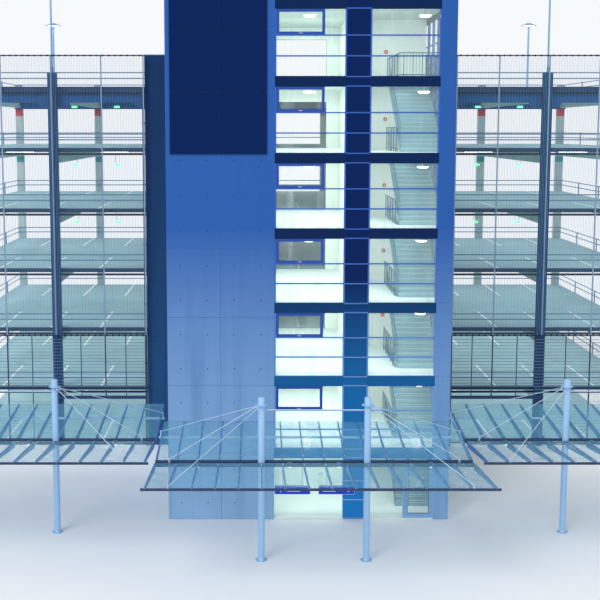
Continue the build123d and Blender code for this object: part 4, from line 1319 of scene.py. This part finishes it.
@dataclass
class Tower(Assembly):
    """The stair and lift tower: concrete walls, dark panels, glazing and its frames."""

    hole: Point = (0.052, 0.0, 0.01)
    hole_low: float = 0.7
    hole_pitch: Span = (1.08, 1.4)
    core_hole: float = -5.19
    core_holes: tuple[int, int] = (4, 11)
    side_hole_behind: float = 0.54
    side_holes: tuple[int, int] = (10, 16)
    wing_hole: float = 6.2
    wing_hole_pitch: float = 0.94
    wing_holes: tuple[int, int] = (2, 14)
    wing_wall: float = 0.3
    wing_top: float = 19.5
    wing_edge: float = 7.63
    cap_thick: float = 0.04
    cap_rim: float = 0.02
    cap_width: float = 0.36
    wing_cap_width: float = 0.34
    lamp_places: Span = (0.0, 4.6)
    lamp_depth: float = 1.05
    # Radius and height
    lamp_rim: Span = (0.18, 0.045)
    # Spans down from the ceiling, with the radii of the disc from its foot up
    pendant_disc: Span = (-0.43, -0.37)
    pendant_radii: Span = (0.19, 0.235)
    pendant_shade: Span = (-0.37, -0.35)
    pendant_crown: float = 0.16
    pendant_stem: Span = (-0.36, -0.06)
    pendant_stem_radius: float = 0.018
    call_place: float = 3.72
    call_depth: float = 7.0
    call_height: float = 1.38
    # Half width or radius, and how far each stands off the wall
    call_plate: Span = (0.11, 0.012)
    call_button: Span = (0.09, 0.05)
    call_dot: Span = (0.028, 0.056)
    handle: Point = (0.16, 0.024, 0.03)
    handle_level: float = 4.655

    def build(self) -> None:
        """Dress the nodes and add what is fixed to them."""
        self.dress({
            "core_front_wall": "tower_concrete", "inner_walls": "tower_concrete",
            "dividing_walls": "indoor_plaster", "back_walls": "tower_concrete",
            "back_lintels": "tower_concrete", "front_piers": "post_concrete",
            "dark_glass_panels": "dark_panel_glass", "spandrel_panels": "navy_panel",
            "mullions": "blue_frame", "transoms": "blue_frame", "front_glass": "window_glass",
            "side_glass": "window_glass", "vent_stiles": "deep_blue_frame", "vent_rails": "deep_blue_frame",
            "lobby_floors": "landing_screed", "floor_edges": "indoor_plaster", "tower_roof": "beam_concrete",
        })
        self.tie_holes()
        self.copings()
        self.lamp_bezels()
        self.call_points()
        self.pendants()
        self.vent_handles()

    def tie_holes(self) -> None:
        """The round plugs in the tie holes of the cast walls."""
        across, up = self.hole_pitch
        low, places = self.hole_low, self.places
        walls = [((self.core_hole, places.face, low), (across, 0.0, 0.0), self.core_holes, DEPTH_TURN),
                 ((-places.tower_half, places.face + self.side_hole_behind, low), (0.0, across, 0.0),
                  self.side_holes, LEVEL_TURN)]
        for side in SIDES:
            walls.append(((side * self.wing_hole, places.facade - self.wing_wall, low),
                          (side * self.wing_hole_pitch, 0.0, 0.0), self.wing_holes, DEPTH_TURN))
        plugs = self.piece("tie_hole_plugs", "joint_sealant")
        for start, step, (count, courses), turn in walls:
            plugs.rows(Shape.ROD, start, self.hole, step_a=step, count_a=count, step_b=(0.0, 0.0, up),
                       count_b=courses, turn=turn, sides=12)
        plugs.finish(slot="concrete")

    def copings(self) -> None:
        """The metal caps on the parapet and on the wing walls."""
        rim, width, places = self.cap_rim, self.cap_width, self.places
        half, front, rear = places.tower_half + rim, places.face - rim, places.facade + rim
        low, high = places.tower_top, places.tower_top + self.cap_thick
        caps = self.piece("parapet_caps", "zinc_steel")
        caps.box((-half, front, low), (half, front + width, high))
        caps.box((-half, rear - width, low), (half, rear, high))
        caps.pair((half - width, front + width, low), (half, rear - width, high))
        caps.pair((places.tower_half, rear - self.wing_cap_width, self.wing_top),
                  (self.wing_edge, rear, self.wing_top + self.cap_thick))
        caps.finish(slot="galvanised", bevel=0.008)

    def ceiling_spots(self, first: int) -> list[Point]:
        """Where lamps hang near the glazing.

        Args:
            first: the first storey that has them, from 0.

        Returns:
            The places on the ceilings.
        """
        y = self.places.face + self.lamp_depth
        return [(x, y, floor - self.places.slab)
                for x in self.lamp_places for floor in self.places.floors[first:]]

    def lamp_bezels(self) -> None:
        """The rims of the round ceiling lamps behind the glazing."""
        rims = self.piece("ceiling_lamp_rims", "brushed_steel")
        radius, tall = self.lamp_rim
        for spot in self.ceiling_spots(0):
            rims.post(spot, (-tall, 0.0), radius, sides=24)
        rims.finish(slot="stainless", smooth=True)

    def call_points(self) -> None:
        """The round red call points on the wall behind the stair."""
        points = self.piece("call_points", "signal_red")
        plates = self.piece("call_point_plates", "sign_white")
        x, y = self.call_place, self.places.face + self.call_depth
        (half, thick), (radius, stand) = self.call_plate, self.call_button
        dot_radius, dot_stand = self.call_dot
        for level in self.places.levels[1:]:
            z = level + self.call_height
            plates.box((x - half, y - thick, z - half), (x + half, y, z + half))
            points.tube((x, y - stand, z), (x, y - thick, z), radius, sides=24)
            plates.tube((x, y - dot_stand, z), (x, y - stand, z), dot_radius, sides=24)
        points.finish(smooth=True)
        plates.finish(bevel=0.004)

    def pendants(self) -> None:
        """The round lamps that hang below the ceiling lamps near the glazing."""
        discs = self.piece("pendant_discs", "lit_cover")
        stems = self.piece("pendant_stems", "brushed_steel")
        narrow, wide = self.pendant_radii
        for spot in self.ceiling_spots(1):
            stems.post(spot, self.pendant_stem, self.pendant_stem_radius)
            stems.post(spot, self.pendant_shade, wide, self.pendant_crown, sides=24)
            discs.post(spot, self.pendant_disc, narrow, wide, sides=24)
        discs.finish(slot="lamp", smooth=True)
        stems.finish(slot="stainless", smooth=True)

    def vent_handles(self) -> None:
        """The handles on the opening lights of each storey."""
        low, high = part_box("vent_stiles")
        handles = self.piece("vent_handles", "brushed_steel")
        place = ((low.x + high.x) / 2, low.y - self.handle[1] / 2, self.handle_level)
        handles.rows(Shape.BOX, place, self.handle, **self.places.each_storey())
        handles.finish(slot="stainless", bevel=0.004)


@dataclass
class Stair(Assembly):
    """The stair behind the glazing with its close bars, nosings and guards."""

    bar_places: Span = (3.742, 5.458)
    middle: float = 4.6
    going: float = 0.28
    risers: int = 17
    rail_height: float = 0.9
    rail_radius: float = 0.022
    bar: float = 0.014
    first_bar: float = 1.25
    bar_behind: float = 0.008
    bar_count: int = 7
    half_stringer: float = 0.13
    landing_depth: float = 1.5
    nosing: Point = (1.64, 0.045, 0.006)
    nosing_behind: float = 0.025
    nosing_lift: float = 0.002
    # X, and depth behind the tower's face
    guard_place: Span = (3.667, 1.66)
    guard_tall: float = 0.84
    guard_middle: float = 0.56
    guard_pitch: float = 0.25
    guard_count: int = 18
    top_guard_place: Span = (3.72, 1.577)
    top_guard_pitch: float = 0.125
    top_guard_count: int = 15

    def build(self) -> None:
        """Dress the nodes and add the fine bars."""
        self.dress({
            "stair_treads": "tread_concrete", "stair_risers": "stair_steel", "stair_stringers": "stair_steel",
            "stair_handrails": "rail_steel", "stair_balusters": "rail_steel",
            "stair_landings": "landing_screed",
        })
        self.flight_bars()
        self.nosings()
        self.guard_bars()

    def flights(self) -> list[Span]:
        """The base and the rise of one step of each flight."""
        bases = [self.places.ground, *self.places.levels[:-1]]
        return [(base, (top - base) / self.risers) for base, top in zip(bases, self.places.levels)]

    def flight_bars(self) -> None:
        """The upright bars between those of the fixed nodes, along both sides."""
        bars = self.piece("stair_fine_bars", "rail_steel")
        ahead = self.going * self.first_bar + self.bar_behind
        y = self.places.face + self.landing_depth + ahead
        for base, rise in self.flights():
            slope = rise / self.going
            top = self.rail_height - self.rail_radius * math.sqrt(1 + slope ** 2)
            z = base + rise + slope * ahead + (top - self.half_stringer) / 2
            for x in self.bar_places:
                bars.rows(Shape.ROD, (x, y, z), (self.bar, 0.0, top + self.half_stringer),
                          step_a=(0.0, 2 * self.going, 2 * rise), count_a=self.bar_count, sides=6)
        bars.finish(slot="stainless")

    def nosings(self) -> None:
        """The dark strips at the front of each tread."""
        strips = self.piece("stair_nosings", "black_rubber")
        y = self.places.face + self.landing_depth + self.nosing_behind
        for base, rise in self.flights():
            strips.rows(Shape.BOX, (self.middle, y, base + rise + self.nosing_lift), self.nosing,
                        step_a=(0.0, self.going, rise), count_a=self.risers - 1)
        strips.finish(slot="galvanised")

    def guard_bars(self) -> None:
        """The close bars in the level guards beside the stair and across the top landing."""
        bars = self.piece("guard_fine_bars", "rail_steel")
        size = (self.bar, 0.0, self.guard_tall)
        (x, depth), (top_x, top_depth) = self.guard_place, self.top_guard_place
        face, levels = self.places.face, self.places.levels
        bars.rows(Shape.ROD, (x, face + depth, levels[0] + self.guard_middle), size, sides=6,
                  step_a=(0.0, self.guard_pitch, 0.0), count_a=self.guard_count,
                  **self.places.each_storey("b"))
        bars.rows(Shape.ROD, (top_x, face + top_depth, levels[-1] + self.guard_middle), size, sides=6,
                  step_a=(self.top_guard_pitch, 0.0, 0.0), count_a=self.top_guard_count)
        bars.finish(slot="stainless")


@dataclass
class Entrance(Assembly):
    """The entrance door and the fittings that go with it."""

    left: float = 4.082
    right: float = 4.942
    low: float = 0.248
    high: float = 2.27
    seal_width: float = 0.012
    seal_thick: float = 0.004
    seal_depths: Span = (0.008, 0.038)
    lock_place: Span = (4.037, 0.5)
    lock_radius: float = 0.02
    lock_stand: float = 0.006
    closer_span: Span = (4.3, 4.58)
    closer_depth: Span = (0.05, 0.09)
    # Foot and top of the closer, and top of its spindle
    closer_levels: Point = (2.28, 2.335, 2.35)
    spindle_place: Span = (4.5, 0.07)
    spindle_radius: float = 0.012

    def build(self) -> None:
        """Dress the door and add its gaskets, lock and closer."""
        self.dress({"door_stiles": "blue_frame", "door_rails": "blue_frame", "door_glass": "window_glass",
                    "door_pull": "brushed_steel", "door_hinges": "brushed_steel",
                    "frame_hinges": "brushed_steel"})
        self.gaskets()
        self.lock_and_closer()

    def gaskets(self) -> None:
        """The dark seals round the pane on both of its faces."""
        wide, thick = self.seal_width, self.seal_thick
        seal = self.piece("door_gaskets", "black_rubber")
        for depth in self.seal_depths:
            y = self.places.face + depth
            for x in (self.left, self.right - wide):
                seal.box((x, y, self.low), (x + wide, y + thick, self.high))
            for z in (self.low, self.high - wide):
                seal.box((self.left, y, z), (self.right, y + thick, z + wide))
        seal.finish(body=DOOR, slot="frame_metal")

    def lock_and_closer(self) -> None:
        """The round lock below the pull, and the closer on the top rail with its spindle."""
        face = self.places.face
        x, z = self.lock_place
        (left, right), (front, rear) = self.closer_span, self.closer_depth
        low, high, tip = self.closer_levels
        lock = self.piece("door_lock", "brushed_steel")
        lock.tube((x, face - self.lock_stand, z), (x, face, z), self.lock_radius, sides=20)
        lock.box((left, face + front, low), (right, face + rear, high))
        lock.post((self.spindle_place[0], face + self.spindle_place[1], high), (0.0, tip - high),
                  self.spindle_radius)
        lock.finish(body=DOOR, slot="stainless", bevel=0.002)


@dataclass
class Canopies(Assembly):
    """The three glass canopies on masts in front of the tower."""

    # X of each middle, and how far its masts stand before the tower's face
    centres: tuple[Span, ...] = ((-12.0, 1.5), (0.0, 4.5), (12.0, 1.5))
    ribs: int = 16
    pitch: float = 0.78
    root: float = 3.77
    tip: float = 4.105
    inset: float = 0.265
    front: float = 4.155
    rear: float = 4.5
    glass: float = 0.016
    strip: Span = (0.050, 0.008)
    clamp: Point = (0.075, 0.0, 0.02)
    # First clamp and step as shares of the slope, and count
    clamp_rows: tuple[float, float, int] = (0.08, 0.42, 3)
    collar: Point = (0.104, 0.0, 0.06)
    tube_level: float = 4.06
    tube_ahead: float = 4.192
    mast_half: float = 1.95
    mast_radius: float = 0.125
    mast_top: float = 6.2
    # How far below the top the cap starts and ends its slope
    cap_tall: Span = (0.03, 0.008)
    cap_share: float = 0.9
    base_radii: Span = (0.21, 0.16)
    base_levels: Span = (0.025, 0.09)
    crown: float = 5.9
    crown_radius: float = 0.23
    crown_thick: float = 0.02
    ring: Span = (-0.14, -0.10)
    ring_proud: float = 0.008
    bolts: int = 8
    bolt_circle: float = 0.185
    # Radius and height
    bolt: Span = (0.013, 0.022)
    lamp_shifts: tuple[float, ...] = (-4.3, -0.9, 0.9, 4.3)
    # Foot and rim of the cover and top of the case, and the radii of the three
    lamp_levels: Point = (3.58, 3.6, 3.72)
    lamp_radii: Point = (0.09, 0.098, 0.105)

    def build(self) -> None:
        """Dress the nodes, then add fittings, masts and lamps."""
        self.dress({
            "valley_tubes": "dark_steel", "edge_tubes": "edge_tube_paint", "front_ribs": "rib_steel",
            "rear_ribs": "rib_steel", "canopy_panes": "canopy_glass", "valley_spacers": "dark_steel",
            "canopy_lugs": "stay_steel", "canopy_stays": "stay_steel",
        })
        self.glass_fittings()
        self.rib_ends()
        self.masts()
        self.valley_lamps()

    def middles(self) -> list[Span]:
        """The X of each canopy's middle and the Y of its masts."""
        return [(centre, self.places.face - ahead) for centre, ahead in self.centres]

    def first_rib(self, centre: float) -> float:
        """The X of the first rib of the canopy with that middle."""
        return centre - self.pitch * (self.ribs - 1) / 2

    def slopes(self, mast: float) -> list[tuple[Vector, Vector]]:
        """The tops of the ribs on both sides of the valley, as Y and Z of a vector.

        Args:
            mast: the Y of the masts.

        Returns:
            The lower and the upper end of each slope.
        """
        ends = ((-self.inset, -self.front), (self.inset, self.rear))
        return [(Vector((0.0, mast + low, self.root)), Vector((0.0, mast + high, self.tip)))
                for low, high in ends]

    def glass_fittings(self) -> None:
        """The sealed joints over the ribs, and the round clamps on them."""
        seals = self.piece("canopy_cover_strips", "rib_steel")
        clamps = self.piece("canopy_clamps", "brushed_steel")
        wide, thick = self.strip
        share, step, count = self.clamp_rows
        ribs = {"step_a": (self.pitch, 0.0, 0.0), "count_a": self.ribs}
        for centre, mast in self.middles():
            x = self.first_rib(centre)
            for start, end in self.slopes(mast):
                way = end - start
                tilt = math.atan(way.z / way.y)
                normal = Vector((0.0, -math.sin(tilt), math.cos(tilt)))
                middle = (start + end) / 2 + normal * (self.glass + thick / 4)
                seals.rows(Shape.BOX, (x, middle.y, middle.z), (wide, way.length, thick),
                           turn=(tilt, 0.0, 0.0), **ribs)
                place = start + way * share + normal * (self.glass + thick)
                clamps.rows(Shape.ROD, (x, place.y, place.z), self.clamp, step_b=tuple(way * step),
                            count_b=count, turn=(tilt, 0.0, 0.0), sides=12, **ribs)
        seals.finish(slot="galvanised")
        clamps.finish(slot="stainless", smooth=True)

    def rib_ends(self) -> None:
        """The collars that hold the rib tips to the front tube."""
        collars = self.piece("rib_end_collars", "zinc_steel")
        for centre, mast in self.middles():
            place = (self.first_rib(centre), mast - self.tube_ahead, self.tube_level)
            collars.rows(Shape.ROD, place, self.collar, step_a=(self.pitch, 0.0, 0.0),
                         count_a=self.ribs, turn=LEVEL_TURN, sides=16)
        collars.finish(slot="galvanised", smooth=True)

    def masts(self) -> None:
        """The round masts with their base plates, bolts, crown plates and caps."""
        shafts = self.piece("round_masts", "mast_paint")
        plates = self.piece("mast_flanges", "mast_paint")
        bolts = self.piece("mast_bolts", "zinc_steel")
        radius, top = self.mast_radius, self.mast_top
        (wide, narrow), (low, high) = self.base_radii, self.base_levels
        for centre, y in self.middles():
            for side in SIDES:
                foot = (centre + side * self.mast_half, y, 0.0)
                crown = (foot[0], y, self.crown)
                shafts.lathe(foot, [(0.0, low), (radius, low), (radius, top - self.cap_tall[0]),
                                    (radius * self.cap_share, top - self.cap_tall[1]), (0.0, top)])
                plates.post(foot, (0.0, low), wide, sides=32)
                plates.post(foot, (low, high), narrow, radius, sides=32)
                plates.post(crown, (0.0, self.crown_thick), self.crown_radius, sides=32)
                plates.post(crown, self.ring, radius + self.ring_proud, sides=32)
                self.ring_of_bolts(bolts, foot)
        shafts.finish(slot="mast_paint", replaces=("canopy_masts",), smooth=True)
        plates.finish(slot="mast_paint", replaces=("mast_plates",), smooth=True)
        bolts.finish(slot="galvanised")

    def ring_of_bolts(self, bolts: Piece, foot: Point) -> None:
        """The bolts of one base plate.

        Args:
            bolts: the piece that they are added to.
            foot: where the mast stands.
        """
        radius, tall = self.bolt
        low = self.base_levels[0]
        for k in range(self.bolts):
            angle = 2 * math.pi / self.bolts * (k + 0.5)
            x = foot[0] + self.bolt_circle * math.cos(angle)
            y = foot[1] + self.bolt_circle * math.sin(angle)
            bolts.post((x, y, low), (0.0, tall), radius, sides=6)

    def valley_lamps(self) -> None:
        """The round lamps between the valley tubes."""
        covers = self.piece("valley_lamp_covers", "lit_cover")
        cases = self.piece("valley_lamp_cases", "zinc_steel")
        low, middle, high = self.lamp_levels
        tip, rim, case = self.lamp_radii
        for centre, y in self.middles():
            for shift in self.lamp_shifts:
                cases.post((centre + shift, y, 0.0), (middle, high), case, sides=24)
                covers.post((centre + shift, y, 0.0), (low, middle), tip, rim, sides=24)
        covers.finish(slot="lamp", smooth=True)
        cases.finish(slot="galvanised", smooth=True)


class Way(Enum):
    """Where a sign points, and at which shares of its width its arrow and its bars stand."""

    LEFT = (-1, 0.2, 0.36)
    RIGHT = (1, 0.8, 0.12)


@dataclass
class DirectionSigns(Assembly):
    """The two hanging sign boards with plain arrows and bars."""

    gap: float = 0.3
    edge: float = 0.012
    rim_stand: float = 0.006
    face_stand: float = 0.004
    arrow: tuple[Span, ...] = ((-0.1, 0.03), (0.02, 0.03), (0.02, 0.09), (0.12, 0.0), (0.02, -0.09),
                               (0.02, -0.03), (-0.1, -0.03))
    bar_low: float = 0.03
    bar_tall: float = 0.03
    bar_pitch: float = 0.09
    bar_shares: Span = (0.5, 0.36)

    def build(self) -> None:
        """Dress the boards and put an arrow, two bars and a rim on each."""
        self.dress({"sign_panels": "sign_blue", "sign_hangers": "zinc_steel"})
        low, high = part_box("sign_panels")
        y, edge = low.y, self.edge
        z = (low.z + high.z) / 2
        arrows = self.piece("sign_arrows", "sign_white")
        rims = self.piece("sign_rims", "brushed_steel")
        width = (high.x - low.x - self.gap) / 2
        for left, way in ((low.x, Way.LEFT), (high.x - width, Way.RIGHT)):
            turn, arrow_share, bar_share = way.value
            right = left + width
            x = left + width * arrow_share
            arrows.plate([(x + turn * u, z + v) for u, v in self.arrow], (y - self.face_stand, y))
            start = left + width * bar_share
            for k, share in enumerate(self.bar_shares):
                foot = z + self.bar_low - self.bar_pitch * k
                arrows.box((start, y - self.face_stand, foot),
                           (start + width * share, y, foot + self.bar_tall))
            for inner in (left, right - edge):
                rims.box((inner, y - self.rim_stand, low.z), (inner + edge, y, high.z))
            for inner in (low.z, high.z - edge):
                rims.box((left, y - self.rim_stand, inner), (right, y, inner + edge))
        arrows.finish(slot="sign_face")
        rims.finish(slot="stainless")


# Stage
@dataclass(frozen=True)
class RoomLight:
    """A flat soft light that each storey of the tower has."""

    name: str
    middle: float
    depth: float
    drop: float
    size: Span
    power: float
    turn: Point = (0.0, 0.0, 0.0)


@dataclass
class Studio:
    """The camera, the pale floor and the plain soft light."""

    places: Places
    pixels: float = 600.0
    focal: float = 1145.0
    centre: Span = (256.0, 270.0)
    sensor: float = 36.0
    pitch: float = 7.03
    offset: float = -2.15
    distance: float = 45.5
    height: float = 15.94
    reach: float = 2000.0
    floor_half: float = 600.0
    floor_level: float = -0.003
    floor_roughness: float = 0.9
    pale: Colour = (0.93, 0.95, 0.97)
    sky: float = 0.77
    sun: float = 1.3
    sun_turn: Point = (math.radians(48.0), 0.0, math.radians(-32.0))
    sun_softness: float = 25.0
    deck_light: Point = (11.5, 9.9, 0.8)
    deck_light_size: Span = (11.0, 15.0)
    deck_power: float = 320.0
    first_share: float = 0.6
    rooms: tuple[RoomLight, ...] = (
        RoomLight("hall_light", 1.6, 3.4, 0.5, (6.0, 5.4), 110.0),
        RoomLight("hall_wash", 1.6, 0.5, 1.6, (6.0, 1.6), 45.0, DEPTH_TURN),
        RoomLight("lobby_light", 0.3, 8.4, 0.5, (2.6, 4.6), 50.0),
        RoomLight("lobby_wash", 0.3, 6.2, 1.5, (2.6, 1.4), 22.0, DEPTH_TURN))

    def build(self) -> None:
        """Set up camera, floor, background and lights."""
        bpy.context.scene.view_settings.view_transform = "Standard"
        self.camera()
        self.floor()
        self.world()
        self.key_sun()
        self.deck_lights()
        self.room_lights()

    def stand(self, name: str, data: bpy.types.ID, place: Point = (0.0, 0.0, 0.0),
              turn: Point = (0.0, 0.0, 0.0)) -> bpy.types.Object:
        """Put a camera, a light or the floor in the scene.

        Args:
            name: the object's name.
            data: what it shows.
            place: where it stands.
            turn: its rotation.

        Returns:
            The object.
        """
        made = bpy.data.objects.new(name, data)
        made.location, made.rotation_euler = place, turn
        bpy.context.scene.collection.objects.link(made)
        return made

    def camera(self) -> None:
        """The camera at the photograph's height and angle."""
        data = bpy.data.cameras.new("front_camera")
        data.sensor_width = self.sensor
        data.lens = self.focal * self.sensor / self.pixels
        data.shift_x = (self.pixels / 2 - self.centre[0]) / self.pixels
        data.shift_y = -(self.pixels / 2 - self.centre[1]) / self.pixels
        data.clip_end = self.reach
        place = (self.offset, self.places.face - self.distance, self.height)
        turn = (math.radians(90.0 - self.pitch), 0.0, 0.0)
        bpy.context.scene.camera = self.stand("front_camera", data, place, turn)

    def floor(self) -> None:
        """A wide pale floor that keeps the building's shadow."""
        data = bpy.data.meshes.new("studio_floor")
        half, level = self.floor_half, self.floor_level
        corners = [(-half, -half, level), (half, -half, level), (half, half, level), (-half, half, level)]
        data.from_pydata(corners, [], [(0, 1, 2, 3)])
        material = bpy.data.materials.new("studio_floor")
        material.use_nodes = True
        shader = material.node_tree.nodes["Principled BSDF"].inputs
        shader["Base Color"].default_value = (*self.pale, 1.0)
        shader["Roughness"].default_value = self.floor_roughness
        data.materials.append(material)
        self.stand("studio_floor", data)

    def world(self) -> None:
        """An even sky that shows pale to the eye, in reflections and through glass, and lights softly."""
        world = bpy.data.worlds.new("studio_sky")
        bpy.context.scene.world = world
        world.use_nodes = True
        shading = Shading(world.node_tree)
        sky = world.node_tree.nodes["Background"].inputs
        sky["Color"].default_value = (*self.pale, 1.0)
        path = world.node_tree.nodes.new("ShaderNodeLightPath").outputs
        direct = shading.calc("MAXIMUM", path["Is Camera Ray"], path["Is Glossy Ray"])
        seen = shading.calc("MAXIMUM", direct, path["Is Transmission Ray"])
        shading.link(shading.calc("MULTIPLY_ADD", seen, 1.0 - self.sky, self.sky), sky["Strength"])

    def key_sun(self) -> None:
        """A sun with a wide disc, so that its shadows are soft."""
        data = bpy.data.lights.new("key_sun", "SUN")
        data.energy, data.angle = self.sun, math.radians(self.sun_softness)
        self.stand("key_sun", data, turn=self.sun_turn)

    def deck_lights(self) -> None:
        """Soft lights below the decks, so that they show their own colours."""
        x, y, drop = self.deck_light
        for level in self.places.levels:
            for side in SIDES:
                self.panel(f"deck_light_{level:.0f}_{side}", (side * x, y, level - drop),
                           self.deck_light_size, self.deck_power)

    def room_lights(self) -> None:
        """Soft lights under the tower's ceilings, and others that shine at the walls behind."""
        for level in self.places.floors:
            share = self.first_share if level == self.places.storey else 1.0
            for room in self.rooms:
                place = (room.middle, self.places.face + room.depth, level - room.drop)
                self.panel(f"{room.name}_{level:.0f}", place, room.size, room.power * share, room.turn)

    def panel(self, name: str, place: Point, size: Span, power: float,
              turn: Point = (0.0, 0.0, 0.0)) -> None:
        """A flat light that isn't seen itself; unturned, it shines down.

        Args:
            name: the light's name.
            place: its centre.
            size: its width and depth.
            power: its power in watts.
            turn: its rotation.
        """
        data = bpy.data.lights.new(name, "AREA")
        data.shape, data.size, data.size_y, data.energy = "RECTANGLE", *size, power
        made = self.stand(name, data, place, turn)
        made.visible_camera = made.visible_glossy = made.visible_transmission = False


def main() -> None:
    """Build the looks of the car park round its fixed frame."""
    logging.basicConfig(level=logging.INFO, format="%(name)s: %(message)s")
    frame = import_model()
    places = Places.measured()
    paint = Paintbox(places)
    Studio(places).build()
    for kind in (ParkingWings, Tower, Stair, Entrance, Canopies, DirectionSigns):
        kind(places, paint, frame["nodes"]).build()


if __name__ == "__main__":
    main()
